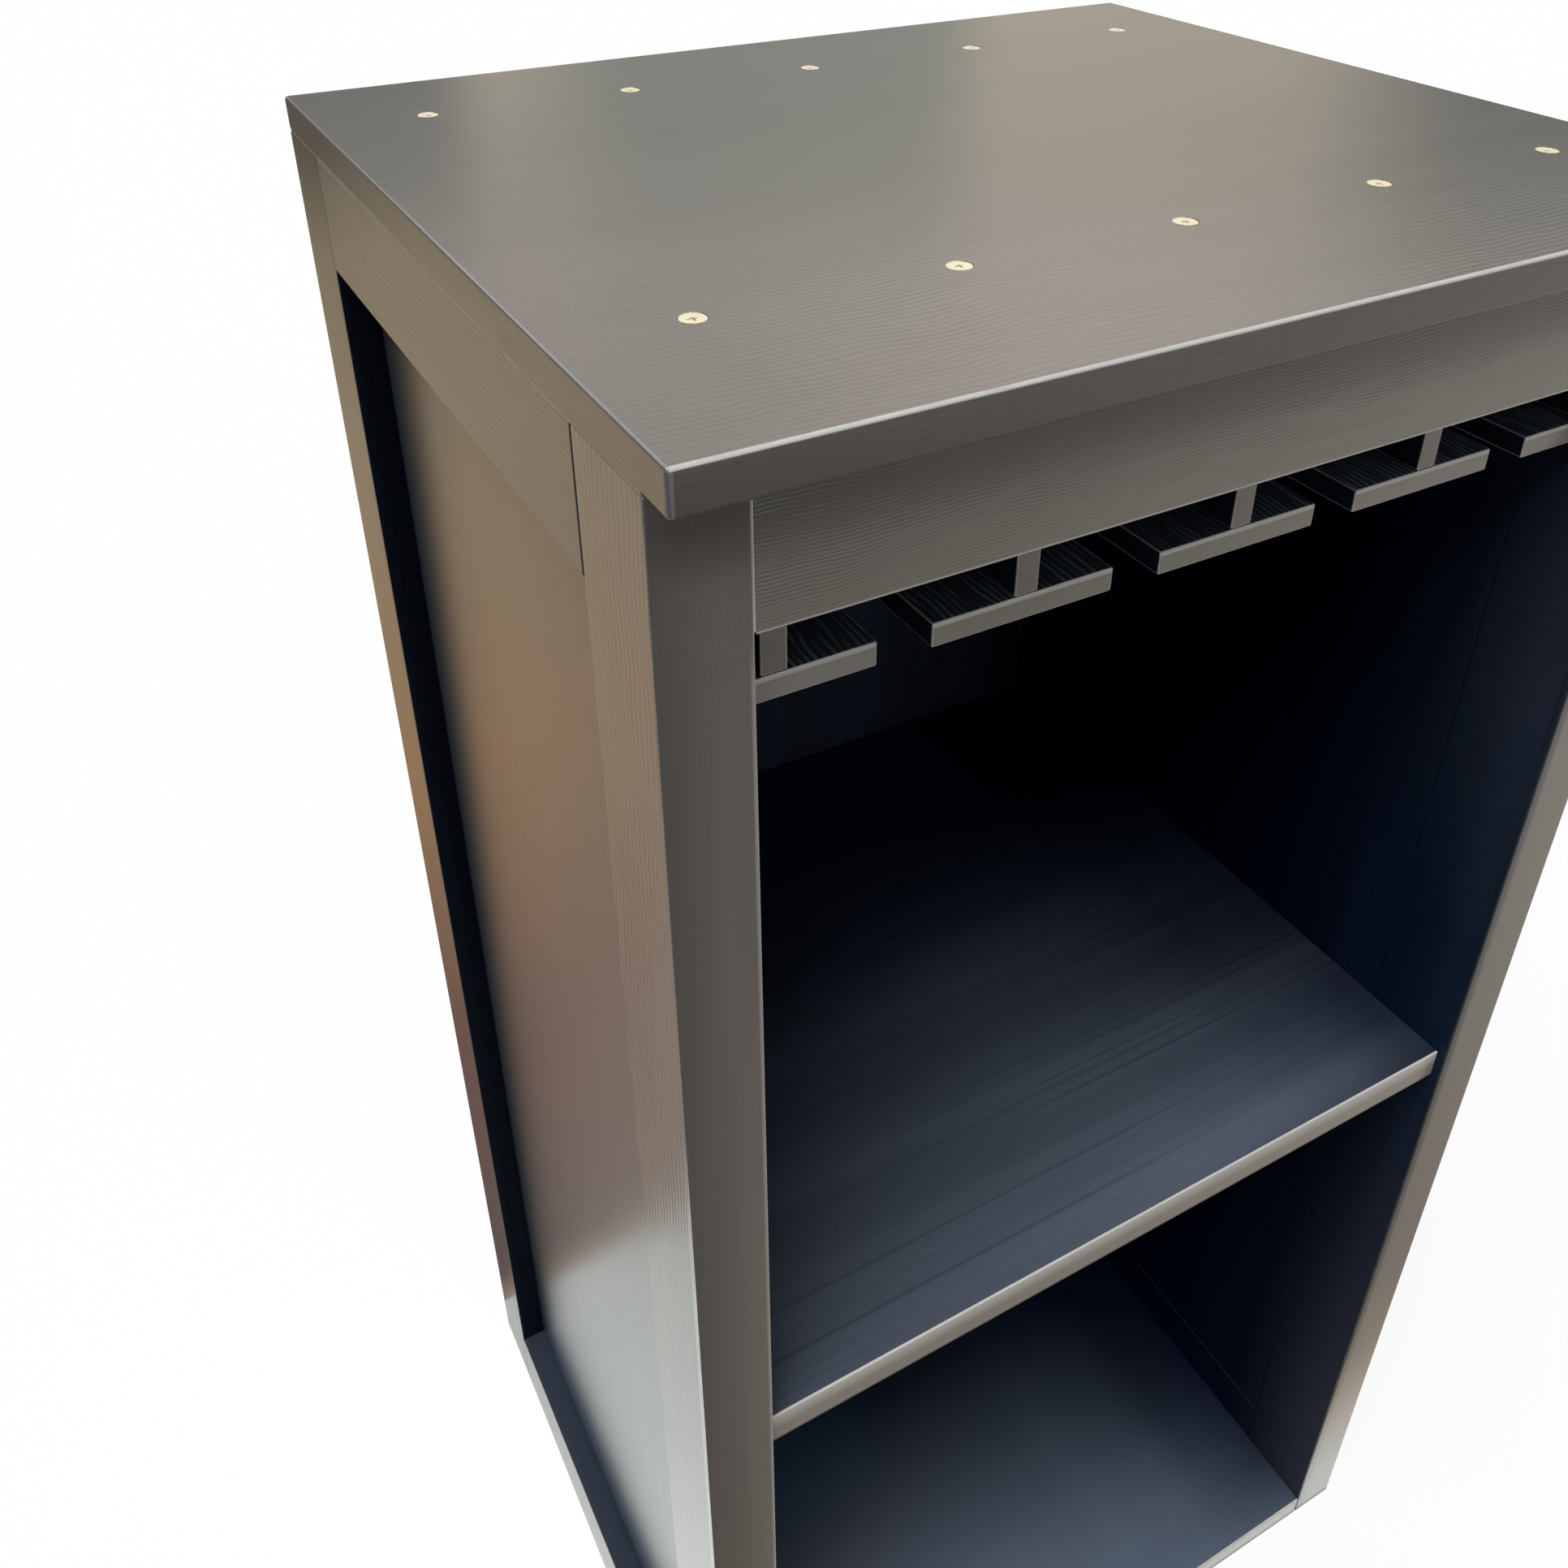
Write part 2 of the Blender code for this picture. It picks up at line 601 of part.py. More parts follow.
def build_cabinet():
    """Every piece of the cabinet, under one empty."""
    cabinet = bpy.data.objects.new("wine_cabinet", None)
    bpy.context.collection.objects.link(cabinet)
    rack_holes = build_rack_screws(cabinet)
    flange_holes = build_flange_screws(cabinet)
    top_dowel_holes = build_top_dowels(cabinet)
    floor_dowel_holes = build_floor_dowels(cabinet)
    pin_holes = build_shelf_pins(cabinet)
    build_top_panel(cabinet, rack_holes, top_dowel_holes)
    build_apron(cabinet)
    build_back_panel(cabinet)
    build_floor_panel(cabinet, floor_dowel_holes)
    build_shelf(cabinet)
    upper_groove = (TOP_RAIL_UNDERSIDE - OVERCUT, TOP_RAIL_UNDERSIDE + TONGUE_DEPTH + FIT_GAP)
    lower_groove = (BOTTOM_RAIL_HEIGHT - TONGUE_DEPTH - FIT_GAP, BOTTOM_RAIL_HEIGHT + OVERCUT)
    for label, side in SIDES.items():
        build_front_post(label, side, cabinet, top_dowel_holes)
        build_rear_post(label, side, cabinet, top_dowel_holes)
        upper = (TOP_RAIL_UNDERSIDE, TOP_RAIL_HEIGHT, upper_groove)
        build_side_rail("top_rail_" + label, side, *upper, cabinet)
        lower = (0, BOTTOM_RAIL_HEIGHT, lower_groove)
        bottom_rail = build_side_rail("bottom_rail_" + label, side, *lower, cabinet)
        cut(bottom_rail, floor_dowel_holes)
        build_side_panel(label, side, cabinet, pin_holes)
    for number, x in enumerate(rack_centres(), start=1):
        build_rack_rail(number, x, cabinet, rack_holes, flange_holes)


clear_scene()
build_cabinet()
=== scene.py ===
# %% [markdown]
# # Dressing a wine cabinet
# The cabinet's solids are already modelled: posts, rails, panels, a loose shelf and a rack for glasses.
# This lesson gives them their surfaces and puts them in a small photo studio.
# Everything is in metres, +Z is up and the open front looks along -Y.
# The box round the solids is kept, because no surface may change the size of the real thing.

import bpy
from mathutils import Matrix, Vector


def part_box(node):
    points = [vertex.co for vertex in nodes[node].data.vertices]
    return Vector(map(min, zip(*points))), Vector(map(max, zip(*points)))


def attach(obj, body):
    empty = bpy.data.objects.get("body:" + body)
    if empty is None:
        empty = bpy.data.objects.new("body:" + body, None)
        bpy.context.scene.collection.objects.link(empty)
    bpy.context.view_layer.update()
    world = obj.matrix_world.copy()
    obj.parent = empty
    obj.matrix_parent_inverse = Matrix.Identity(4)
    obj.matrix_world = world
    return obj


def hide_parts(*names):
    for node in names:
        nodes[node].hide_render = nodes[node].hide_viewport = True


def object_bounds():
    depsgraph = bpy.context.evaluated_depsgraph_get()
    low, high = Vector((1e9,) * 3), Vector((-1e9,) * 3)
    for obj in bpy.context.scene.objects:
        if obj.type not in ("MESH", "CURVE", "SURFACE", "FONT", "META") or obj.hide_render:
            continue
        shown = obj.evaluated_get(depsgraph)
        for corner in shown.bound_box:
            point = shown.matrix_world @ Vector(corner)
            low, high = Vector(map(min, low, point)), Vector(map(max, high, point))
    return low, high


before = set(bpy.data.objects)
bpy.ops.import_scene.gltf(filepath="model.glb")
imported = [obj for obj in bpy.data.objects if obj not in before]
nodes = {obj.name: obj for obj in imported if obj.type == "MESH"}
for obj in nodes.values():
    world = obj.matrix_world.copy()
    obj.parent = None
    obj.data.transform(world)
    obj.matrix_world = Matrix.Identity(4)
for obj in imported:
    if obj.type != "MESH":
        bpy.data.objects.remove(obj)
cad_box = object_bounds()
print("solids:", len(nodes), "size:", [round(high - low, 3) for low, high in zip(*cad_box)])

# %% [markdown]
# ## Camera
# The photograph looks down on the front left corner from close by, so the uprights lean together.
# A camera can be placed by eye, but solving it from the straight edges of the photograph is surer:
# the place, the turn and the focal length below come from such a fit.
# The picture is a crop, and its optical centre lies above the middle. The lens shift stands for that.

# %% Camera
import math

import bpy

PICTURE_SIDE = 1932
FOCAL_LENGTH_PIXELS = 1808.7
OPTICAL_CENTRE_PIXELS = (1001.7, 720.2)
SENSOR_WIDTH = 36.0
CAMERA_PLACE = (-0.3779, -0.5302, 1.1700)
CAMERA_TURN = (58.328, -0.083, -28.989)

scene = bpy.context.scene
camera_data = bpy.data.cameras.new("camera")
camera_data.sensor_width = SENSOR_WIDTH
camera_data.lens = SENSOR_WIDTH * FOCAL_LENGTH_PIXELS / PICTURE_SIDE
camera_data.shift_x = 0.5 - OPTICAL_CENTRE_PIXELS[0] / PICTURE_SIDE
camera_data.shift_y = OPTICAL_CENTRE_PIXELS[1] / PICTURE_SIDE - 0.5
camera = bpy.data.objects.new("camera", camera_data)
camera.location = CAMERA_PLACE
camera.rotation_euler = [math.radians(angle) for angle in CAMERA_TURN]
scene.collection.objects.link(camera)
scene.camera = camera
scene.view_settings.view_transform = "Standard"
print("lens:", round(camera_data.lens, 2), "mm")
print("shift:", round(camera_data.shift_x, 4), round(camera_data.shift_y, 4))

# %% [markdown]
# ## Small helpers for nodes
# Every finish below is a tree of shader nodes. Three short functions keep the trees readable:
# one adds a node, one feeds a socket with a link or with a plain value, and one does a sum.

# %% Node helpers
def add(tree, kind, **settings):
    """Adds a node of this kind and sets its properties."""
    node = tree.nodes.new(kind)
    for name, value in settings.items():
        setattr(node, name, value)
    return node


def feed(tree, source, target):
    """Links a socket to another, or sets a plain value on it."""
    if isinstance(source, bpy.types.NodeSocket):
        tree.links.new(source, target)
    else:
        target.default_value = source


def calculate(tree, operation, first, second=0.0):
    """The result of one sum, as a socket."""
    node = add(tree, "ShaderNodeMath", operation=operation)
    feed(tree, first, node.inputs[0])
    feed(tree, second, node.inputs[1])
    return node.outputs[0]


print("helpers: add, feed, calculate")

# %% [markdown]
# ## Studio light
# The photograph's light is soft and comes from above, a little from the left and the front.
# An area lamp would do, but its light fades with distance and the floor would turn grey further off.
# A sun with a wide angle has the same soft shadows and lights the floor evenly, so it is the key here.
# A weaker sun, level with the floor, fills the front without lighting the shelf inside.
# The world adds a little light from all round. Seen directly or mirrored it is white, like paper.

# %% Light from all round
AMBIENT_STRENGTH = 0.12
AMBIENT_COLOUR = (0.97, 0.98, 1.0, 1.0)
WHITE = (1.0, 1.0, 1.0, 1.0)


def seen_directly(tree):
    """1 for what the camera, a mirror or a clear piece shows, 0 for light on its way to a matt surface."""
    path = add(tree, "ShaderNodeLightPath").outputs
    mirrored = calculate(tree, "MAXIMUM", path["Is Camera Ray"], path["Is Glossy Ray"])
    return calculate(tree, "MAXIMUM", mirrored, path["Is Transmission Ray"])


def light_world():
    """Soft light from all round, with a white backdrop."""
    world = bpy.data.worlds.new("studio")
    world.use_nodes = True
    tree = world.node_tree
    tree.nodes.clear()
    ambient = add(tree, "ShaderNodeBackground")
    ambient.inputs["Color"].default_value = AMBIENT_COLOUR
    ambient.inputs["Strength"].default_value = AMBIENT_STRENGTH
    backdrop = add(tree, "ShaderNodeBackground")
    backdrop.inputs["Color"].default_value = WHITE
    blend = add(tree, "ShaderNodeMixShader")
    feed(tree, seen_directly(tree), blend.inputs["Fac"])
    feed(tree, ambient.outputs[0], blend.inputs[1])
    feed(tree, backdrop.outputs[0], blend.inputs[2])
    feed(tree, blend.outputs[0], add(tree, "ShaderNodeOutputWorld").inputs["Surface"])
    return world


scene.world = light_world()
print("light from all round:", AMBIENT_STRENGTH)

# %% Key sun and fill sun
from mathutils import Vector

KEY_DIRECTION = (-0.36, -0.20, 0.91)
KEY_STRENGTH = 2.85
KEY_ANGLE = 46.0
FILL_DIRECTION = (0.20, -0.98, 0.02)
FILL_STRENGTH = 0.50
FILL_ANGLE = 20.0


def sun(name, direction, strength, angle):
    """A sun that shines from this direction."""
    data = bpy.data.lights.new(name, "SUN")
    data.energy = strength
    data.angle = math.radians(angle)
    lamp = bpy.data.objects.new(name, data)
    lamp.rotation_euler = Vector(direction).to_track_quat("Z", "Y").to_euler()
    scene.collection.objects.link(lamp)


sun("key", KEY_DIRECTION, KEY_STRENGTH, KEY_ANGLE)
sun("fill", FILL_DIRECTION, FILL_STRENGTH, FILL_ANGLE)
print("key light from", KEY_DIRECTION, "fill light from", FILL_DIRECTION)

# %% [markdown]
# ## Paper floor
# The cabinet stands on plain white paper. White paper would also throw much light back up at the cabinet,
# and the photograph's front is rather dark. So the paper is white only where the camera or a mirror sees it.
# Part of what they see is lit paper, so that the cabinet keeps its shadow.

# %% Paper floor
PAPER_REACH = 9.0
PAPER_DROP = 0.0004
PAPER_GLOW_SHARE = 0.88
PAPER_BOUNCE = (0.14, 0.14, 0.14, 1.0)


def plane(name, centre, across, up, material):
    """A flat stage piece: its centre and the two half sides."""
    corners = [(-1, -1), (1, -1), (1, 1), (-1, 1)]
    points = [Vector(centre) + Vector(across) * a + Vector(up) * b for a, b in corners]
    mesh = bpy.data.meshes.new(name)
    mesh.from_pydata(points, [], [(0, 1, 2, 3)])
    mesh.materials.append(material)
    piece = bpy.data.objects.new(name, mesh)
    scene.collection.objects.link(piece)
    return piece


def paper_material():
    """White paper to the eye, duller paper to the light."""
    material = bpy.data.materials.new("paper")
    material.use_nodes = True
    tree = material.node_tree
    tree.nodes.clear()
    dull = add(tree, "ShaderNodeBsdfDiffuse")
    dull.inputs["Color"].default_value = PAPER_BOUNCE
    lit = add(tree, "ShaderNodeBsdfDiffuse")
    lit.inputs["Color"].default_value = WHITE
    glow = add(tree, "ShaderNodeEmission")
    shown = add(tree, "ShaderNodeMixShader")
    shown.inputs["Fac"].default_value = PAPER_GLOW_SHARE
    feed(tree, lit.outputs[0], shown.inputs[1])
    feed(tree, glow.outputs[0], shown.inputs[2])
    either = add(tree, "ShaderNodeMixShader")
    feed(tree, seen_directly(tree), either.inputs["Fac"])
    feed(tree, dull.outputs[0], either.inputs[1])
    feed(tree, shown.outputs[0], either.inputs[2])
    feed(tree, either.outputs[0], add(tree, "ShaderNodeOutputMaterial").inputs["Surface"])
    return material


paper_centre = (0, 0, -PAPER_DROP)
plane("paper_floor", paper_centre, (PAPER_REACH, 0, 0), (0, PAPER_REACH, 0), paper_material())
print("paper floor:", 2 * PAPER_REACH, "m square")

# %% [markdown]
# ## Reflector cards
# A lacquered board seen at a low angle is half a mirror, so what stands round it colours it.
# A picture wrapped round the scene would do it, but its tones would be hard to place. Photographers use
# cards, and so does this lesson: a card is a glowing plane whose tone changes along one of its sides.
# The cards show only in mirrors. They cast no shadow and no light, and the camera doesn't see them.

# %% Colour helpers
# A Mix node has a pair of sockets for each kind of value; these are its colour sockets.
COLOUR_A, COLOUR_B, COLOUR_RESULT = 6, 7, 2


def ramp(tree, source, tones):
    """A row of colours read off by a value from 0 to 1."""
    node = add(tree, "ShaderNodeValToRGB")
    stops = node.color_ramp.elements
    while len(stops) < len(tones):
        stops.new(0.5)
    for stop, (place, colour) in zip(stops, tones):
        stop.position = place
        stop.color = (*colour, 1.0)
    feed(tree, source, node.inputs["Fac"])
    return node.outputs["Color"]


def remap(tree, source, low, high, to_low=0.0, to_high=1.0):
    """Stretches a range of values over another one, held at both ends."""
    node = add(tree, "ShaderNodeMapRange")
    feed(tree, source, node.inputs["Value"])
    limits = {"From Min": low, "From Max": high, "To Min": to_low, "To Max": to_high}
    for socket_name, value in limits.items():
        feed(tree, value, node.inputs[socket_name])
    return node.outputs["Result"]


def mix_colour(tree, factor, first, second):
    """One colour over another, by a factor from 0 to 1."""
    node = add(tree, "ShaderNodeMix", data_type="RGBA")
    feed(tree, factor, node.inputs["Factor"])
    feed(tree, first, node.inputs[COLOUR_A])
    feed(tree, second, node.inputs[COLOUR_B])
    return node.outputs[COLOUR_RESULT]


print("colour helpers: ramp, remap, mix_colour")

# %% Card material
def card_material(name, tones, axis, haze=None):
    """A glowing card whose tone changes along one axis of its box; haze pales it along X."""
    material = bpy.data.materials.new(name)
    material.use_nodes = True
    tree = material.node_tree
    tree.nodes.clear()
    place = add(tree, "ShaderNodeSeparateXYZ")
    feed(tree, add(tree, "ShaderNodeTexCoord").outputs["Generated"], place.inputs[0])
    colour = ramp(tree, place.outputs[axis], tones)
    if haze:
        start, end, share, pale = haze
        veil = remap(tree, place.outputs["X"], start, end, 0.0, share)
        colour = mix_colour(tree, veil, colour, (*pale, 1.0))
    glow = add(tree, "ShaderNodeEmission")
    feed(tree, colour, glow.inputs["Color"])
    feed(tree, glow.outputs[0], add(tree, "ShaderNodeOutputMaterial").inputs["Surface"])
    return material


def mirror_card(name, centre, across, up, material):
    """A card that shows in reflections only, not to the camera and not as light."""
    card = plane(name, centre, across, up, material)
    card.visible_camera = False
    card.visible_diffuse = False
    card.visible_shadow = False
    card.visible_transmission = False


print("card helpers: card_material, mirror_card")

# %% [markdown]
# ## Cards beside the cabinet
# In the photograph the left side shows warm browns above a pale, cool tone that begins near its foot.
# A card behind the left side, standing on a pale card that lies on the floor, gives both with a soft seam.
# The tones are listed from 0 to 1 along a card, and may be brighter than white.

# %% Warm card and cool card
REAR_Y = cad_box[1].y
LEFT_X = cad_box[0].x
WARM_CARD_WIDTH = 0.80
WARM_CARD_HEIGHT = 1.10
WARM_CARD_BEHIND = 0.020
WARM_TONES = [
    (0.00, (0.55, 0.40, 0.30)),
    (0.035, (0.20, 0.15, 0.15)),
    (0.30, (0.32, 0.17, 0.135)),
    (0.52, (0.63, 0.36, 0.17)),
    (0.73, (0.62, 0.47, 0.30)),
    (0.83, (0.48, 0.38, 0.25)),
    (0.88, (0.22, 0.19, 0.14)),
]
WARM_HAZE = (0.985, 0.75, 0.52, (0.80, 0.64, 0.50))
COOL_CARD_REACH = 0.60
COOL_CARD_Z = 0.001
COOL_TONES = [
    (0.45, (1.32, 1.38, 1.36)),
    (0.52, (1.20, 1.27, 1.25)),
    (0.62, (1.08, 1.15, 1.13)),
    (0.80, (0.98, 1.04, 1.02)),
]
warm_centre = (LEFT_X - WARM_CARD_WIDTH / 2, REAR_Y + WARM_CARD_BEHIND, WARM_CARD_HEIGHT / 2)
warm_across = (WARM_CARD_WIDTH / 2, 0, 0)
warm_up = (0, 0, WARM_CARD_HEIGHT / 2)
warm_material = card_material("warm_card", WARM_TONES, "Z", WARM_HAZE)
mirror_card("warm_card", warm_centre, warm_across, warm_up, warm_material)
cool_half = COOL_CARD_REACH / 2
cool_centre = (LEFT_X - cool_half, 0, COOL_CARD_Z)
cool_material = card_material("cool_card", COOL_TONES, "Y")
mirror_card("cool_card", cool_centre, (cool_half, 0, 0), (0, cool_half, 0), cool_material)
print("warm card at y", round(warm_centre[1], 3), "cool card", COOL_CARD_REACH, "m square")

# %% [markdown]
# ## Cards before the cabinet
# The front's lacquer mirrors a dull tone some way off, and near the right foot a bright one.
# One long card gives the dull tone. A short one close to the feet gives the bright patch: a mirror seen from
# above shows low things low down, so only the lowest part of the posts catches it.

# %% Front card and foot card
FRONT_Y = cad_box[0].y
FRONT_CARD_LENGTH = 4.0
FRONT_CARD_WIDTH = 7.0
FRONT_CARD_AWAY = 0.035
FRONT_CARD_Z = 0.002
FRONT_TONES = [
    (0.00, (0.48, 0.45, 0.41)),
    (0.90, (0.40, 0.365, 0.32)),
    (0.975, (0.27, 0.235, 0.20)),
    (0.990, (0.36, 0.285, 0.21)),
    (1.00, (0.42, 0.35, 0.28)),
]
FRONT_HAZE = (0.515, 0.68, 0.85, (1.12, 1.06, 0.97))
FOOT_CARD_X = (-0.21, 0.43)
FOOT_CARD_Y = (-0.285, -0.206)
FOOT_CARD_Z = 0.003
FOOT_TONES = [
    (0.05, (0.42, 0.33, 0.26)),
    (0.20, (0.68, 0.50, 0.37)),
    (0.33, (1.04, 0.78, 0.58)),
    (0.50, (1.36, 1.18, 0.98)),
    (0.66, (1.62, 1.60, 1.42)),
    (0.90, (1.70, 1.82, 1.74)),
]
front_centre = (0, FRONT_Y - FRONT_CARD_AWAY - FRONT_CARD_LENGTH / 2, FRONT_CARD_Z)
front_across = (FRONT_CARD_WIDTH / 2, 0, 0)
front_along = (0, FRONT_CARD_LENGTH / 2, 0)
front_material = card_material("front_card", FRONT_TONES, "Y", FRONT_HAZE)
mirror_card("front_card", front_centre, front_across, front_along, front_material)
foot_centre = (sum(FOOT_CARD_X) / 2, sum(FOOT_CARD_Y) / 2, FOOT_CARD_Z)
foot_across = ((FOOT_CARD_X[1] - FOOT_CARD_X[0]) / 2, 0, 0)
foot_along = (0, (FOOT_CARD_Y[1] - FOOT_CARD_Y[0]) / 2, 0)
foot_material = card_material("foot_card", FOOT_TONES, "Y")
mirror_card("foot_card", foot_centre, foot_across, foot_along, foot_material)
print("front card from y", round(FRONT_Y - FRONT_CARD_AWAY, 3), "foot card to y", FOOT_CARD_Y[1])

# %% [markdown]
# ## Screens behind the cabinet
# Soft upright bands of beige and grey-green lie on the top, and a warm white on its front part.
# Colouring the top itself would fix the bands to the board. A banded screen behind the cabinet, with a pale
# one above it, gives bands that wander with the eye, as they do on real lacquer.

# %% Banded screen
SCREEN_DISTANCE = 3.0
SCREEN_AZIMUTH = 32.0
SCREEN_WIDTH = 4.4
SCREEN_BAND = (1.0, 2.10)
BAND_TONES = [
    (0.05, (0.08, 0.10, 0.10)),
    (0.237, (0.11, 0.14, 0.14)),
    (0.267, (0.53, 0.48, 0.385)),
    (0.342, (0.24, 0.28, 0.26)),
    (0.515, (0.28, 0.31, 0.28)),
    (0.545, (0.56, 0.505, 0.41)),
    (0.712, (0.49, 0.445, 0.36)),
    (0.80, (0.09, 0.11, 0.11)),
]
screen_turn = math.radians(SCREEN_AZIMUTH)
screen_centre = (
    SCREEN_DISTANCE * math.sin(screen_turn),
    SCREEN_DISTANCE * math.cos(screen_turn),
    sum(SCREEN_BAND) / 2,
)
screen_across = (math.cos(screen_turn) * SCREEN_WIDTH / 2, -math.sin(screen_turn) * SCREEN_WIDTH / 2, 0)
screen_up = (0, 0, (SCREEN_BAND[1] - SCREEN_BAND[0]) / 2)
band_material = card_material("band_screen", BAND_TONES, "X")
mirror_card("band_screen", screen_centre, screen_across, screen_up, band_material)
print("banded screen", SCREEN_WIDTH, "m wide at", [round(value, 2) for value in screen_centre])

# %% Pale screen
PALE_HEIGHT = 1.4
PALE_TONES = [
    (0.10, (0.72, 0.67, 0.62)),
    (0.38, (0.77, 0.70, 0.65)),
    (0.464, (0.94, 0.86, 0.79)),
    (0.54, (1.05, 0.96, 0.88)),
    (0.60, (1.11, 1.01, 0.92)),
    (0.66, (1.06, 0.97, 0.88)),
    (0.84, (0.68, 0.66, 0.61)),
]
pale_centre = (*screen_centre[:2], SCREEN_BAND[1] + PALE_HEIGHT / 2)
pale_material = card_material("pale_screen", PALE_TONES, "X")
mirror_card("pale_screen", pale_centre, screen_across, (0, 0, PALE_HEIGHT / 2), pale_material)
print("pale screen from z", SCREEN_BAND[1], "to", SCREEN_BAND[1] + PALE_HEIGHT)

# %% [markdown]
# ## Brushed grain
# The boards are lacquered over a brushed grain: fine grooves a few millimetres apart that run along each
# board, wave by a millimetre, break off and fade in and out.
# An image of wood would do it, but it would need unwrapping and would repeat. A solid texture made of noise
# and a sine needs no unwrapping, and cut faces and edges get it too.
# It is a node group, because every board uses it. Its Vector has X along the board.

# %% Group and noise helpers
def new_group(name, inputs, outputs):
    """An empty shader node group with named sockets; returns it with its inner ends."""
    group = bpy.data.node_groups.new(name, "ShaderNodeTree")
    for socket_name, kind, value in inputs:
        socket = group.interface.new_socket(socket_name, in_out="INPUT", socket_type=kind)
        if value is not None:
            socket.default_value = value
    for socket_name, kind in outputs:
        group.interface.new_socket(socket_name, in_out="OUTPUT", socket_type=kind)
    return group, add(group, "NodeGroupInput").outputs, add(group, "NodeGroupOutput").inputs


def stretched_noise(tree, vector, spots, detail=2.0):
    """Noise with so many spots a metre along the board and across it."""
    along, across = spots
    scaled = add(tree, "ShaderNodeVectorMath", operation="MULTIPLY")
    feed(tree, vector, scaled.inputs[0])
    scaled.inputs[1].default_value = (along, across, across)
    noise = add(tree, "ShaderNodeTexNoise")
    feed(tree, scaled.outputs[0], noise.inputs["Vector"])
    noise.inputs["Scale"].default_value = 1.0
    noise.inputs["Detail"].default_value = detail
    return noise.outputs["Fac"]


def swing(tree, vector, spots, grooves):
    """A push to either side by noise, counted in grooves."""
    middle = calculate(tree, "SUBTRACT", stretched_noise(tree, vector, spots, 0.0), 0.5)
    return calculate(tree, "MULTIPLY", middle, grooves)


print("helpers: new_group, stretched_noise, swing")

# %% Brushed grain
GROOVE_PITCH = 0.0017
GROOVE_SHARPNESS = 2.0
LONG_WAVE, LONG_WAVE_SPOTS = 3.5, (22, 30)
SHORT_WAVE, SHORT_WAVE_SPOTS = 0.9, (70, 110)
PATCH_SPOTS, PATCH_RANGE, PATCH_FAINTEST = (6, 14), (0.36, 0.62), 0.45
BREAK_SPOTS, BREAK_RANGE = (38, 270), (0.38, 0.56)
STREAK_SPOTS, STREAK_DETAIL, STREAK_RANGE = (0.9, 260), 1.0, (0.56, 0.72)
ZONE_SPOTS, ZONE_RANGE = (2.0, 9.0), (0.42, 0.60)
FIBRE_SPOTS = (12, 900)
TONE_SPOTS, TONE_DETAIL, TONE_RANGE = (1.5, 40), 3.0, (0.3, 0.7)


def brushed_grain_group():
    """Grooves, thin dark streaks, fibres and broad tone of a brushed board, each from 0 to 1."""
    group, inside, result = new_group(
        "brushed grain",
        [
            ("Vector", "NodeSocketVector", None),
            ("Pitch", "NodeSocketFloat", GROOVE_PITCH),
            ("Wave", "NodeSocketFloat", 1.0),
            ("Breaks", "NodeSocketFloat", 0.4),
        ],
        [(name, "NodeSocketFloat") for name in ("Grooves", "Streaks", "Fibres", "Tone")],
    )
    vector = inside["Vector"]
    axes = add(group, "ShaderNodeSeparateXYZ")
    feed(group, vector, axes.inputs[0])
    across = calculate(group, "ADD", axes.outputs["Y"], axes.outputs["Z"])
    count = calculate(group, "DIVIDE", across, inside["Pitch"])
    long_wave = swing(group, vector, LONG_WAVE_SPOTS, LONG_WAVE)
    short_wave = swing(group, vector, SHORT_WAVE_SPOTS, SHORT_WAVE)
    wave = calculate(group, "ADD", long_wave, short_wave)
    count = calculate(group, "ADD", count, calculate(group, "MULTIPLY", wave, inside["Wave"]))
    turns = calculate(group, "MULTIPLY", count, 2 * math.pi)
    ridge = remap(group, calculate(group, "SINE", turns), -1.0, 1.0)
    groove = calculate(group, "POWER", ridge, GROOVE_SHARPNESS)
    patch_noise = stretched_noise(group, vector, PATCH_SPOTS)
    patches = remap(group, patch_noise, *PATCH_RANGE, PATCH_FAINTEST, 1.0)
    unbroken = calculate(group, "SUBTRACT", 1.0, inside["Breaks"])
    break_noise = stretched_noise(group, vector, BREAK_SPOTS, 0.0)
    breaks = remap(group, break_noise, *BREAK_RANGE, unbroken, 1.0)
    worked = calculate(group, "MULTIPLY", patches, breaks)
    feed(group, calculate(group, "MULTIPLY", groove, worked), result["Grooves"])
    lines = remap(group, stretched_noise(group, vector, STREAK_SPOTS, STREAK_DETAIL), *STREAK_RANGE)
    zones = remap(group, stretched_noise(group, vector, ZONE_SPOTS), *ZONE_RANGE)
    feed(group, calculate(group, "MULTIPLY", lines, zones), result["Streaks"])
    feed(group, stretched_noise(group, vector, FIBRE_SPOTS), result["Fibres"])
    tone = remap(group, stretched_noise(group, vector, TONE_SPOTS, TONE_DETAIL), *TONE_RANGE)
    feed(group, tone, result["Tone"])
    return group


brushed_grain = brushed_grain_group()
print("group:", brushed_grain.name, [item.name for item in brushed_grain.interface.items_tree])

# %% [markdown]
# ## Arrises: wear, painted highlights and painted shade
# Sanding and use leave some arrises of the boards paler than the faces. Other pale arrises are painted
# highlights, and dull ones are painted shade.
# Edge masks are often made with the Bevel node, which is slow. Here every face of the cabinet looks straight
# along an axis and only the eased arrises look askew, so the largest part of the normal tells them apart,
# and its sign says which way they look.
# Four masks come out: arrises that look left, right, or straight up or down. Noise breaks the line up.

# %% Worn arrises
STRAIGHT, ASKEW = 0.995, 0.93
LEAN_NONE, LEAN_FULL = 0.1, 0.3
WEAR_RANGE, WEAR_FAINTEST = (0.3, 0.6), 0.7


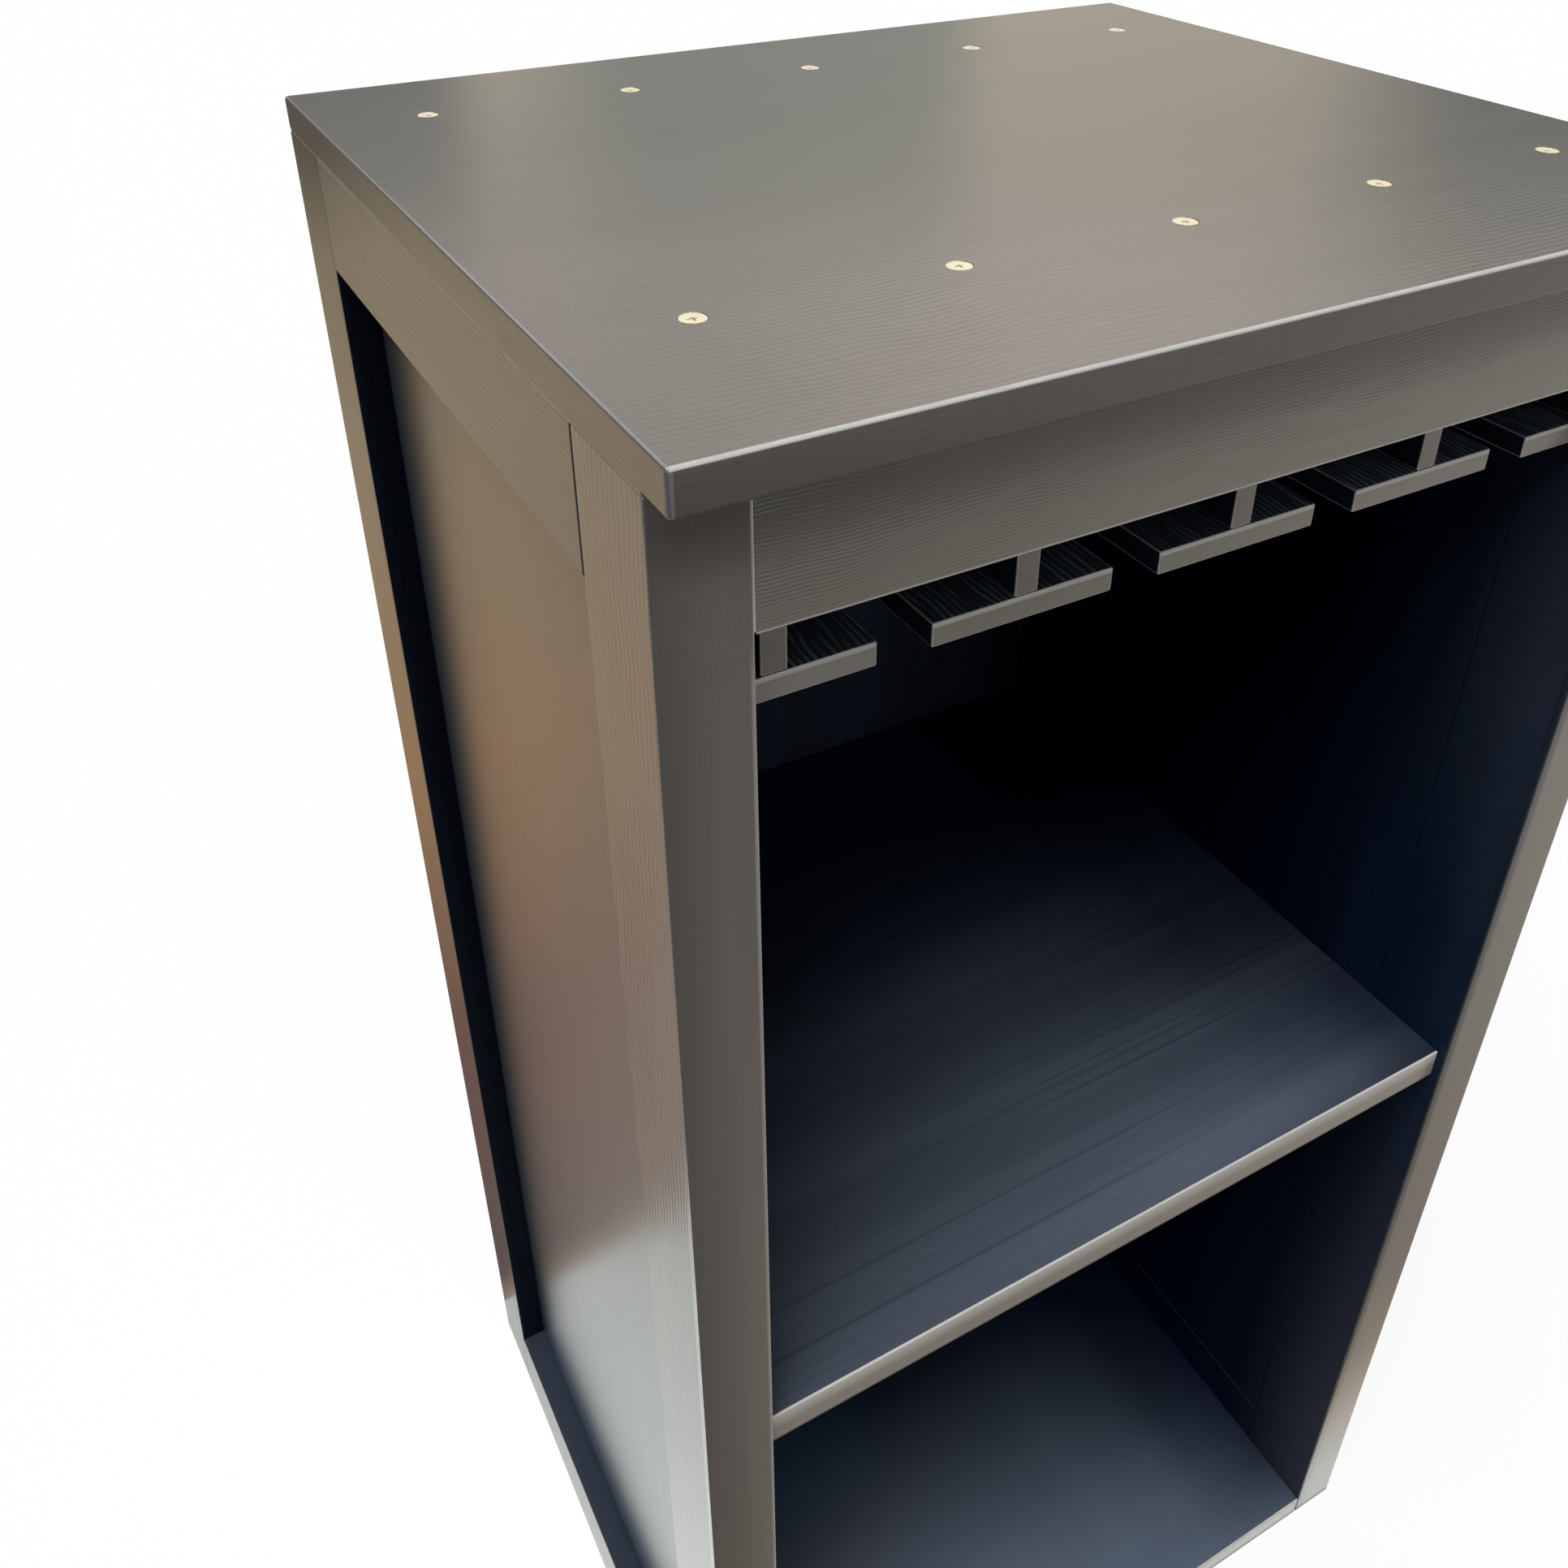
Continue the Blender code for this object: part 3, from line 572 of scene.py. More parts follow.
def arris_wear_and_light_group():
    """Masks of the eased arrises by the way they look, broken up by noise."""
    group, inside, result = new_group(
        "arris wear and light",
        [("Vector", "NodeSocketVector", None), ("Spots per metre", "NodeSocketFloat", 60.0)],
        [(name, "NodeSocketFloat") for name in ("Up", "Down", "Left", "Right")],
    )
    normal = add(group, "ShaderNodeTexCoord").outputs["Normal"]
    signed = add(group, "ShaderNodeSeparateXYZ")
    feed(group, normal, signed.inputs[0])
    size = add(group, "ShaderNodeVectorMath", operation="ABSOLUTE")
    feed(group, normal, size.inputs[0])
    axes = add(group, "ShaderNodeSeparateXYZ")
    feed(group, size.outputs[0], axes.inputs[0])
    largest = calculate(group, "MAXIMUM", axes.outputs["X"], axes.outputs["Y"])
    largest = calculate(group, "MAXIMUM", largest, axes.outputs["Z"])
    noise = add(group, "ShaderNodeTexNoise")
    feed(group, inside["Vector"], noise.inputs["Vector"])
    feed(group, inside["Spots per metre"], noise.inputs["Scale"])
    spots = remap(group, noise.outputs["Fac"], *WEAR_RANGE, WEAR_FAINTEST, 1.0)
    worn = calculate(group, "MULTIPLY", remap(group, largest, STRAIGHT, ASKEW), spots)
    upright = remap(group, axes.outputs["X"], LEAN_FULL, LEAN_NONE)
    across = calculate(group, "MULTIPLY", worn, upright)
    ways = {
        "Up": (across, "Z", LEAN_NONE, LEAN_FULL),
        "Down": (across, "Z", -LEAN_NONE, -LEAN_FULL),
        "Left": (worn, "X", -LEAN_NONE, -LEAN_FULL),
        "Right": (worn, "X", LEAN_NONE, LEAN_FULL),
    }
    for way, (mask, axis, start, end) in ways.items():
        facing = remap(group, signed.outputs[axis], start, end)
        feed(group, calculate(group, "MULTIPLY", mask, facing), result[way])
    return group


arris_wear_and_light = arris_wear_and_light_group()
print("group:", arris_wear_and_light.name, [item.name for item in arris_wear_and_light.interface.items_tree])

# %% [markdown]
# ## Coats
# Taupe lacquer covers what shows outside, blue-black stain the inner walls and the recesses, and a slate
# stain the shelf, the floor and the glass rails. The same coat differs from board to board in how far its
# grain was brushed and in wear. Its depth of colour is also set board by board, and that paints light and
# shade: boards and faces that lie in shade are made darker, lit ones lighter.
# A material made by hand for each board would drift away from the others. So each coat is a recipe, a
# dictionary of values, and a board's finish is a recipe with a few values changed.

# %% Coats
TAUPE = {
    "light": (0.214, 0.192, 0.165),
    "dark": (0.194, 0.174, 0.148),
    "groove": (0.090, 0.079, 0.067),
    "shade": 1.0,
    "pitch": GROOVE_PITCH,
    "grooves": 0.5,
    "relief": 0.00009,
    "streaks": 0.0,
    "arrises": [],
    "roughness": (0.22, 0.27),
    "specular": 0.5,
    "coat": 0.0,
    "wave": 1.0,
    "breaks": 0.4,
    "brushed": None,
    "marks": [],
}
WARM_TAUPE = {**TAUPE, "light": (0.214, 0.186, 0.152), "dark": (0.194, 0.168, 0.136)}
SMOOTH = {"grooves": 0.12, "relief": 0.00002}
STAIN = {
    **TAUPE,
    "light": (0.016, 0.025, 0.047),
    "dark": (0.009, 0.013, 0.025),
    "groove": (0.004, 0.006, 0.012),
    "grooves": 0.3,
    "relief": 0.00003,
    "roughness": (0.40, 0.50),
    "specular": 0.15,
}
SLATE = {
    **STAIN,
    "light": (0.129, 0.159, 0.212),
    "dark": (0.076, 0.098, 0.136),
    "groove": (0.028, 0.035, 0.048),
    "grooves": 0.10,
    "streaks": 0.60,
    "roughness": (0.34, 0.44),
    "specular": 0.35,
}
print("coats: taupe, warm taupe, stain and slate, with", len(TAUPE), "values each")

# %% [markdown]
# ## Marks
# No coat is even: dirt gathers in joints and arrises are rubbed pale. Marks also paint light and shade:
# shade that deepens towards the back and under the top, highlights on some arrises and shade on others.
# These could be painted on an image, but then every board would have to be unwrapped.
# Here a mark is a colour that fades in along an axis of the cabinet. Its fade names the axis, the place
# where it starts and the place where it has its full share, and it stays so beyond. A second fade can
# limit it. Wear, painted highlights and painted shade on arrises are written in the same way, for one of
# the four ways an arris can look.
# A finish's brushing is such a fade too, with the share of the grooves that is left beyond it.

# %% Marks
# Pale arrises are wear together with a painted highlight.
PALE_WEAR_AND_HIGHLIGHT = (0.70, 0.68, 0.64)
# The white arris of the top is wear together with a painted highlight.
WHITE_WEAR_AND_HIGHLIGHT = (0.62, 0.61, 0.58)
# Dull arrises are painted shade.
SHADED_ARRIS = (0.075, 0.083, 0.092)
# Grey arrises are painted highlights.
GREY_HIGHLIGHT = (0.21, 0.225, 0.235)
# Warm arrises are painted highlights.
WARM_HIGHLIGHT = (0.34, 0.30, 0.25)
# Bright arrises are painted highlights, where the side mirrors the pale floor.
BRIGHT_HIGHLIGHT = (0.98, 0.97, 0.94)
UNDER_SHADE = (0.050, 0.045, 0.040)
# The joint colour is dirt in the joints, and painted shadow where it lies under the top.
JOINT_DIRT_AND_SHADE = (0.015, 0.013, 0.011)
BLUE_SHADE = (0.026, 0.038, 0.050)
# Night is the blue-black of painted deep shade inside the cabinet, and of a dark strip on the right post.
NIGHT = (0.0, 0.003, 0.016)
ALL_WAYS = ("Up", "Down", "Left", "Right")


def mark(fade, share, colour, limit=None):
    """A colour that fades in to its share along an axis, and only within a second fade if there is one."""
    return fade, share, colour, limit


def wear_and_light(way, share, colour, limit=None):
    """A colour on the arrises that look this way, for wear and for painted highlights and shade."""
    return way, share, colour, limit


# Sets of arrises: pale all round, dull as painted shade at both sides, and dull left with pale right.
PALE_ALL = [wear_and_light(way, 0.95, PALE_WEAR_AND_HIGHLIGHT) for way in ALL_WAYS]
SHADED_ARRISES = [wear_and_light("Left", 1.0, SHADED_ARRIS), wear_and_light("Right", 1.0, SHADED_ARRIS)]
SHADED_LEFT_PALE_RIGHT = [wear_and_light("Left", 0.9, SHADED_ARRIS), wear_and_light("Right", 0.8, PALE_WEAR_AND_HIGHLIGHT)]
FINISHES = {}
print("colours for marks: 10, sets of worn arrises: 3")

# %% [markdown]
# ## Top
# The top is the glossiest board. Its grain is brushed along the front and dies out towards the back.
# Its upper arris is worn and painted almost white as a highlight. The edges are duller, and darker to
# the left, and the top is darker at its rear: both are painted shade.
# One finish for the whole board would be simpler, but then grain and wear would run over every edge.

# %% Top
slab_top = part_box("top_panel")[1].z
TOP_BRUSHED = ("Y", -0.18, -0.05)
TOP_REAR = ("Y", 0.08, 0.20)
TOP_RIGHT = ("X", -0.16, -0.06)
EDGE_LEFT = ("X", 0.05, -0.25)
EDGE_CORNER = ("X", LEFT_X + 0.0024, LEFT_X + 0.0020)
EDGE_TOP = ("Z", slab_top - 0.0016, slab_top - 0.0012)
SLAB_REAR = ("Y", 0.00, 0.16)
FINISHES["top lacquer"] = {
    **TAUPE,
    "shade": 0.76,
    "pitch": 0.0030,
    "grooves": 0.36,
    "relief": 0.00006,
    "wave": 0.8,
    "breaks": 0.25,
    "coat": 0.9,
    "roughness": (0.17, 0.21),
    "brushed": (TOP_BRUSHED, 0.0),
    # Painted shade on the rear part of the top.
    "marks": [mark(TOP_REAR, 0.10, UNDER_SHADE, TOP_RIGHT)],
    # The upper arris is wear painted nearly white as a highlight, the side arrises carry grey painted
    # highlights.
    "arrises": [wear_and_light("Up", 1.0, WHITE_WEAR_AND_HIGHLIGHT), wear_and_light("Left", 1.0, GREY_HIGHLIGHT), wear_and_light("Right", 1.0, GREY_HIGHLIGHT)],
}
FINISHES["slab edge"] = {
    **TAUPE,
    **SMOOTH,
    "light": (0.214, 0.189, 0.173),
    "dark": (0.194, 0.171, 0.156),
    "shade": 0.40,
    "grooves": 0.25,
    "pitch": 0.0026,
    # Painted shade towards the left end, and painted highlights at the left corner and under the top arris.
    "marks": [
        mark(EDGE_LEFT, 0.38, UNDER_SHADE),
        mark(EDGE_CORNER, 0.6, GREY_HIGHLIGHT),
        mark(EDGE_TOP, 0.7, WHITE_WEAR_AND_HIGHLIGHT),
    ],
    "arrises": [wear_and_light("Up", 1.0, WHITE_WEAR_AND_HIGHLIGHT), *SHADED_LEFT_PALE_RIGHT],
}
FINISHES["slab side"] = {
    **WARM_TAUPE,
    "shade": 1.01,
    "pitch": 0.0015,
    "marks": [mark(SLAB_REAR, 0.85, UNDER_SHADE)],
    # The side arrises are painted dull, as shade.
    "arrises": SHADED_ARRISES,
}
FINISHES["board lacquer"] = {**TAUPE, "shade": 1.15, "pitch": 0.0024}
print("finishes for the top and for plain boards:", len(FINISHES))

# %% [markdown]
# ## Front posts and apron
# The posts' fronts are sanded smooth, the apron between them is brushed deep. All three are dark just under
# the top. Shadow gives part of that, and a mark of dirt and painted shadow gives the rest.
# The left post is made darker than the right one, and darker still at its head and outer edge: painted
# shade. Its inner edge low down and pale lines on its inner arris and the apron's foot are painted
# highlights.
# In the photograph the right post looks narrower than the left one. Both solids are alike, so a dark strip is
# painted along the right post's inner arris.

# %% Front posts and apron
left_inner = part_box("front_post_left")[1].x
right_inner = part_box("front_post_right")[0].x
apron_bottom, frame_top = [corner.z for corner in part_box("front_apron")]
UNDER_SLAB = ("Z", frame_top - 0.033, frame_top - 0.013)
POST_HEAD = ("Z", 0.78, 0.92)
POST_OUTER = ("X", LEFT_X + 0.022, LEFT_X + 0.002)
POST_INNER = ("X", left_inner - 0.014, left_inner)
POST_FOOT = ("Z", 0.80, 0.60)
INNER_LINE = ("X", left_inner - 0.0022, left_inner - 0.0014)
BELOW_APRON = ("Z", apron_bottom, apron_bottom - 0.02)
# A dark strip painted along the right post's inner arris.
RIGHT_INNER_STRIP = ("X", right_inner + 0.0070, right_inner + 0.0035)
APRON_BRUSHED = ("Z", frame_top - 0.015, frame_top - 0.060)
APRON_LEFT = ("X", 0.00, -0.22)
APRON_LINE = ("Z", apron_bottom + 0.0014, apron_bottom + 0.0010)
# The left post's lacquer is made darker than the right post's: painted shade.
FINISHES["left post lacquer"] = {
    **TAUPE,
    **SMOOTH,
    "light": (0.222, 0.196, 0.175),
    "dark": (0.202, 0.178, 0.158),
    "shade": 0.78,
    # Dirt and painted shadow under the top, painted shade at the head and the outer edge,
    # and painted highlights on the inner edge low down and on the inner arris below the apron.
    "marks": [
        mark(UNDER_SLAB, 0.85, JOINT_DIRT_AND_SHADE),
        mark(POST_HEAD, 0.14, UNDER_SHADE),
        mark(POST_OUTER, 0.55, UNDER_SHADE),
        mark(POST_INNER, 0.30, WARM_HIGHLIGHT, POST_FOOT),
        mark(INNER_LINE, 0.35, PALE_WEAR_AND_HIGHLIGHT, BELOW_APRON),
    ],
    "arrises": SHADED_LEFT_PALE_RIGHT,
}
# The right post's lacquer is a lighter copy than the left post's: painted light.
FINISHES["right post lacquer"] = {
    **WARM_TAUPE,
    **SMOOTH,
    "shade": 0.95,
    # Dirt and painted shadow under the top, and a dark strip along the inner arris.
    "marks": [mark(UNDER_SLAB, 0.60, JOINT_DIRT_AND_SHADE), mark(RIGHT_INNER_STRIP, 0.92, NIGHT)],
}
FINISHES["apron lacquer"] = {
    **TAUPE,
    "shade": 1.15,
    "groove": (0.030, 0.026, 0.022),
    "pitch": 0.0014,
    "grooves": 0.8,
    "relief": 0.00015,
    "wave": 0.9,
    "breaks": 0.6,
    "brushed": (APRON_BRUSHED, 0.22),
    # Dirt and painted shadow under the top, painted shade to the left, a painted highlight along the foot.
    "marks": [
        mark(UNDER_SLAB, 0.72, JOINT_DIRT_AND_SHADE),
        mark(APRON_LEFT, 0.20, UNDER_SHADE),
        mark(APRON_LINE, 0.7, PALE_WEAR_AND_HIGHLIGHT),
    ],
    "arrises": PALE_ALL,
}
print("finishes so far:", len(FINISHES))

# %% [markdown]
# ## Sides
# The sides are frames with a recessed panel. Posts and rails are brushed, the panel is smooth and glossier.
# Dirt marks the joint of the rails with the front post, and low down the front arris carries a painted
# highlight. Shadow darkens the recess by itself, but less than the photograph shows, so painted blue shade
# darkens the panel's foot and its rear strip as well. The rails' arrises carry warm painted highlights, and
# the rear posts and the rails' rear ends take painted shade.

# %% Sides
front_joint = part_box("front_post_left")[1].y
panel_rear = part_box("rear_post_left")[0].y
rail_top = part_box("bottom_rail_left")[1].z
post_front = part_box("front_post_left")[0].y
BLUE_FOOT_SHADE = (0.085, 0.115, 0.150)
SIDE_BRUSHED = ("Z", 0.72, 0.52)
SIDE_LINE = ("Y", post_front + 0.0036, post_front + 0.0026)
SIDE_FOOT = ("Z", 0.72, 0.62)
REAR_FOOT = ("Z", 0.60, 0.42)
REAR_HEAD = ("Z", 0.925, 0.985)
RAIL_REAR = ("Y", 0.06, 0.18)
RAIL_JOINT = ("Y", front_joint + 0.0014, front_joint + 0.0011)
PANEL_FOOT = ("Z", rail_top + 0.12, rail_top + 0.03)
PANEL_REAR = ("Y", panel_rear - 0.042, panel_rear - 0.003)
FINISHES["side lacquer"] = {
    **WARM_TAUPE,
    "shade": 1.2,
    "pitch": 0.0033,
    "grooves": 0.95,
    "relief": 0.00011,
    "wave": 0.65,
    "breaks": 0.2,
    "brushed": (SIDE_BRUSHED, 0.45),
    "coat": 0.20,
    # Low down the front arris and a line beside it carry a bright painted highlight.
    "marks": [mark(SIDE_LINE, 0.45, BRIGHT_HIGHLIGHT, SIDE_FOOT)],
    "arrises": [*SHADED_LEFT_PALE_RIGHT, wear_and_light("Left", 1.0, BRIGHT_HIGHLIGHT, SIDE_FOOT)],
}
FINISHES["rear lacquer"] = {
    **WARM_TAUPE,
    **SMOOTH,
    "shade": 0.74,
    "marks": [mark(REAR_FOOT, 0.85, UNDER_SHADE), mark(REAR_HEAD, 0.80, UNDER_SHADE)],
}
FINISHES["rail lacquer"] = {
    **WARM_TAUPE,
    "shade": 1.12,
    "pitch": 0.0026,
    "grooves": 0.55,
    # Painted shade at the rear end, and a dark line in the joint with the front post.
    "marks": [mark(RAIL_REAR, 0.32, UNDER_SHADE), mark(RAIL_JOINT, 1.0, JOINT_DIRT_AND_SHADE)],
    # The arrises carry warm painted highlights.
    "arrises": [wear_and_light("Left", 0.75, WARM_HIGHLIGHT), wear_and_light("Right", 0.75, WARM_HIGHLIGHT)],
}
FINISHES["panel lacquer"] = {
    **TAUPE,
    **SMOOTH,
    "shade": 0.62,
    "coat": 0.45,
    "streaks": 0.2,
    "roughness": (0.28, 0.32),
    # Painted blue shade at the foot and along the rear strip.
    "marks": [mark(PANEL_FOOT, 0.95, BLUE_FOOT_SHADE), mark(PANEL_REAR, 0.95, BLUE_SHADE)],
}
print("finishes so far:", len(FINISHES))

# %% [markdown]
# ## Lacquered edges inside
# The shelf, the floor and the feet of the glass rails show a lacquered front edge, sanded smooth.
# Their arrises are rubbed pale, and beside them a painted highlight makes the pale line wider than the arris
# itself. Modelling a wider arris would change the solid, so the mark beside it widens the line.
# The shelf's edge is painted paler towards its top and bluer at its foot, as highlight and shade.

# %% Lacquered edges inside
shelf_bottom, shelf_top = [corner.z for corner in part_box("shelf")]
foot_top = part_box("rack_flange_1")[1].z
SHELF_EDGE_TOP = ("Z", shelf_top - 0.0105, shelf_top - 0.0010)
SHELF_EDGE_BOTTOM = ("Z", shelf_bottom + 0.0022, shelf_bottom + 0.0015)
FEET_LEFT = ("X", 0.10, -0.05)
FEET_LEFTMOST = ("X", -0.12, -0.19)
FEET_LINE = ("Z", foot_top - 0.0022, foot_top - 0.0015)
FINISHES["edge lacquer"] = {**TAUPE, **SMOOTH, "arrises": PALE_ALL}
FINISHES["foot edge"] = {
    **TAUPE,
    **SMOOTH,
    "shade": 1.35,
    # Painted shade on the middle feet, painted light on the leftmost, and a painted highlight under the top.
    "marks": [
        mark(FEET_LEFT, 0.14, UNDER_SHADE),
        mark(FEET_LEFTMOST, 0.17, PALE_WEAR_AND_HIGHLIGHT),
        mark(FEET_LINE, 0.7, PALE_WEAR_AND_HIGHLIGHT),
    ],
    "arrises": PALE_ALL,
}
FINISHES["shelf edge"] = {
    **TAUPE,
    **SMOOTH,
    "shade": 1.75,
    # A painted highlight down from the top arris, and painted blue shade at the foot.
    "marks": [mark(SHELF_EDGE_TOP, 1.0, PALE_WEAR_AND_HIGHLIGHT), mark(SHELF_EDGE_BOTTOM, 0.85, BLUE_SHADE)],
    "arrises": PALE_ALL,
}
print("finishes so far:", len(FINISHES))

# %% [markdown]
# ## Blue-black stain
# Inside, the walls and the back are stained blue-black, and so are the recesses of the sides.
# Towards the back it is darkened with painted shade, by the front posts it carries a painted blue sheen, and
# low on the wall a painted reflection. Light alone gives part of the deepening, but a stain this dark hides
# how light falls. So the shade is painted into it. The recesses and the back are darker copies of the stain
# and the ledges a lighter one: painted shade and painted light.

# %% Blue-black stain
WALL_SHINE = (0.037, 0.049, 0.081)
LOWER_WALL_REFLECTION = (0.075, 0.072, 0.095)
WALL_FOOT = ("Z", shelf_top, 0.10)
WALL_DEPTH = ("Y", -0.20, -0.07)
WALL_HEAD = ("Z", 0.58, 0.74)
WALL_FRONT = ("Y", -0.13, -0.19)
LOWER_DEPTH = ("Y", -0.20, -0.13)
BELOW_SHELF = ("Z", shelf_bottom, shelf_bottom - 0.08)
FINISHES["blue-black stain"] = STAIN
# The recess and back stains are darker copies and the ledge stain a lighter one: painted shade and light.
FINISHES["lit ledge stain"] = {**STAIN, "light": (0.030, 0.040, 0.059), "dark": (0.023, 0.030, 0.044)}
FINISHES["shaded recess stain"] = {**STAIN, "shade": 0.55, "specular": 0.02}
FINISHES["shaded back stain"] = {**STAIN, "shade": 0.8}
FINISHES["rack side stain"] = {**STAIN, "shade": 0.9, "arrises": PALE_ALL}
FINISHES["wall stain"] = {
    **STAIN,
    "shade": 1.3,
    "specular": 0.06,
    "light": (0.012, 0.025, 0.052),
    "dark": (0.006, 0.012, 0.028),
    # Painted reflection low on the wall, painted shade towards the back and a painted sheen by the front
    # posts.
    "marks": [
        mark(WALL_FOOT, 0.52, LOWER_WALL_REFLECTION),
        mark(WALL_DEPTH, 0.95, NIGHT),
        mark(WALL_HEAD, 0.85, WALL_SHINE, WALL_FRONT),
        mark(LOWER_DEPTH, 0.85, NIGHT, BELOW_SHELF),
    ],
    # The arrises inside are painted into deep shade, so that no lit line shows on them.
    "arrises": [wear_and_light(way, 1.0, NIGHT) for way in ALL_WAYS],
}
print("finishes so far:", len(FINISHES))

# %% [markdown]
# ## Slate stain
# The shelf, the floor and the feet of the glass rails are stained slate blue, with thin dark streaks on the
# shelf and bright brushed lines on the feet. Like the walls they are darkened with painted shade towards the
# back and the ends, and a few places carry painted light and sheen.
# The feet's lines are grooves again, only their groove colour is brighter than the stain. They are kept to
# the front of the feet, where the light falls; further back the feet take painted shade.

# %% Slate stain on the shelf
SLATE_SHINE = (0.36, 0.40, 0.47)
REAR_BLUE_SHADE = (0.0, 0.020, 0.080)
SHELF_DEPTH = ("Y", -0.19, 0.06)
SHELF_REAR = ("Y", 0.00, 0.14)
SHELF_LEFT = ("X", 0.05, -0.24)
SHELF_RIGHT = ("X", 0.10, 0.22)
SHELF_RIGHT_HALF = ("X", 0.00, 0.15)
SHELF_BEHIND_EDGE = ("Y", -0.17, -0.08)
SHELF_RIGHT_END = ("X", 0.16, 0.205)
SHELF_FRONT = ("Y", -0.10, -0.14)
SHELF_FRONT_STRIP = ("Y", -0.11, -0.15)
SHELF_MIDDLE = ("X", 0.14, 0.04)
FINISHES["slate stain"] = {
    **SLATE,
    # Painted shade towards the back and at the ends, and a painted sheen behind the middle of the edge.
    "marks": [
        mark(SHELF_DEPTH, 0.70, NIGHT),
        mark(SHELF_REAR, 0.70, REAR_BLUE_SHADE),
        mark(SHELF_LEFT, 0.38, NIGHT),
        mark(SHELF_RIGHT, 0.60, NIGHT),
        mark(SHELF_RIGHT_HALF, 0.62, NIGHT, SHELF_BEHIND_EDGE),
        mark(SHELF_RIGHT_END, 0.45, NIGHT, SHELF_FRONT),
        mark(SHELF_FRONT_STRIP, 0.08, SLATE_SHINE, SHELF_MIDDLE),
    ],
}
print("marks on the shelf:", len(FINISHES["slate stain"]["marks"]))

# %% Slate stain on the floor
FLOOR_LEFT_LIGHT = (0.32, 0.36, 0.47)
FLOOR_SHINE = (0.10, 0.36, 0.55)
FLOOR_LEFT = ("X", 0.06, -0.20)
FLOOR_DEPTH = ("Y", -0.17, 0.01)
FLOOR_RIGHT = ("X", 0.08, 0.17)
FLOOR_BEHIND_EDGE = ("Y", -0.24, -0.08)
FLOOR_RIGHT_END = ("X", 0.14, 0.215)
FLOOR_BEHIND_POST = ("Y", -0.23, -0.17)
FLOOR_LEFT_END = ("X", -0.02, -0.12)
FLOOR_REAR = ("Y", -0.06, 0.00)
FINISHES["floor stain"] = {
    **SLATE,
    "light": (0.124, 0.162, 0.219),
    "dark": (0.112, 0.147, 0.200),
    "streaks": 0.05,
    # Painted light to the left, painted shade towards the back and by the right end, a painted sheen on the
    # left.
    "marks": [
        mark(FLOOR_LEFT, 0.70, FLOOR_LEFT_LIGHT),
        mark(FLOOR_DEPTH, 0.88, NIGHT),
        mark(FLOOR_RIGHT, 0.75, NIGHT, FLOOR_BEHIND_EDGE),
        mark(FLOOR_RIGHT_END, 0.80, NIGHT, FLOOR_BEHIND_POST),
        mark(FLOOR_LEFT_END, 0.20, FLOOR_SHINE, FLOOR_REAR),
    ],
}
print("marks on the floor:", len(FINISHES["floor stain"]["marks"]))

# %% Slate stain on the glass rails
rack_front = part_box("rack_flange_1")[0].y
FEET_BRUSHED = ("Y", rack_front + 0.008, rack_front + 0.045)
FEET_DEPTH = ("Y", rack_front + 0.03, rack_front + 0.12)
FINISHES["rack stain"] = {
    **SLATE,
    "shade": 0.35,
    "groove": (1.00, 1.25, 1.60),
    "pitch": 0.0030,
    "wave": 0.7,
    "breaks": 0.8,
    "grooves": 0.9,
    # The pale lines are kept to the front, where light falls; further back the feet take painted shade.
    "brushed": (FEET_BRUSHED, 0.0),
    "streaks": 0.0,
    "marks": [mark(FEET_DEPTH, 0.9, BLUE_SHADE)],
    "arrises": PALE_ALL,
}
print("finishes to choose from:", len(FINISHES))

# %% [markdown]
# ## From a finish to a material
# A material lays the values of a finish over each other: broad tone, grooves, streaks, marks, and arrises
# with wear, painted highlights and painted shade.
# A Mapping node turns the solid texture along the board, and a random shift gives every board its own place
# in it. A material for every board would also do, but one for each finish and direction is enough,
# so they are made when first asked for and shared.

# %% Layers of colour
def shaded(finish, part):
    """A colour of a finish, with its depth of colour, as four numbers."""
    return (*[value * finish["shade"] for value in finish[part]], 1.0)


def grain_colour(tree, finish, grain, grooves):
    """Broad tone, then grooves and streaks over it."""
    colour = mix_colour(tree, grain.outputs["Tone"], shaded(finish, "dark"), shaded(finish, "light"))
    for mask, share in ((grooves, finish["grooves"]), (grain.outputs["Streaks"], finish["streaks"])):
        if share > 0:
            factor = calculate(tree, "MULTIPLY", mask, share)
            colour = mix_colour(tree, factor, colour, shaded(finish, "groove"))
    return colour


def within(tree, axes, mask, limit):
    """Keeps a mask to one side of a fade, if there is one."""
    if not limit:
        return mask
    axis, start, end = limit
    return calculate(tree, "MULTIPLY", mask, remap(tree, axes.outputs[axis], start, end))


def marked_colour(tree, finish, axes, colour):
    """The marks of a finish over a colour."""
    for (axis, start, end), share, tone, limit in finish["marks"]:
        mask = remap(tree, axes.outputs[axis], start, end, 0.0, share)
        colour = mix_colour(tree, within(tree, axes, mask, limit), colour, (*tone, 1.0))
    return colour


def arris_colour(tree, finish, vector, axes, colour):
    """Arrises over a colour: wear, painted highlights and painted shade."""
    if not finish["arrises"]:
        return colour
    worn = add(tree, "ShaderNodeGroup", node_tree=arris_wear_and_light)
    feed(tree, vector, worn.inputs["Vector"])
    for way, share, tone, limit in finish["arrises"]:
        mask = calculate(tree, "MULTIPLY", worn.outputs[way], share)
        colour = mix_colour(tree, within(tree, axes, mask, limit), colour, (*tone, 1.0))
    return colour


print("layers: grain, marks, arrises")

# %% Board materials
TURN_TO_GRAIN = {"x": (0, 0, 0), "y": (0, 0, -90), "z": (0, 90, 0)}
BOARD_SHIFT = 7.0
COAT_ROUGHNESS = 0.25
FIBRE_RANGE = (0.3, 0.75)


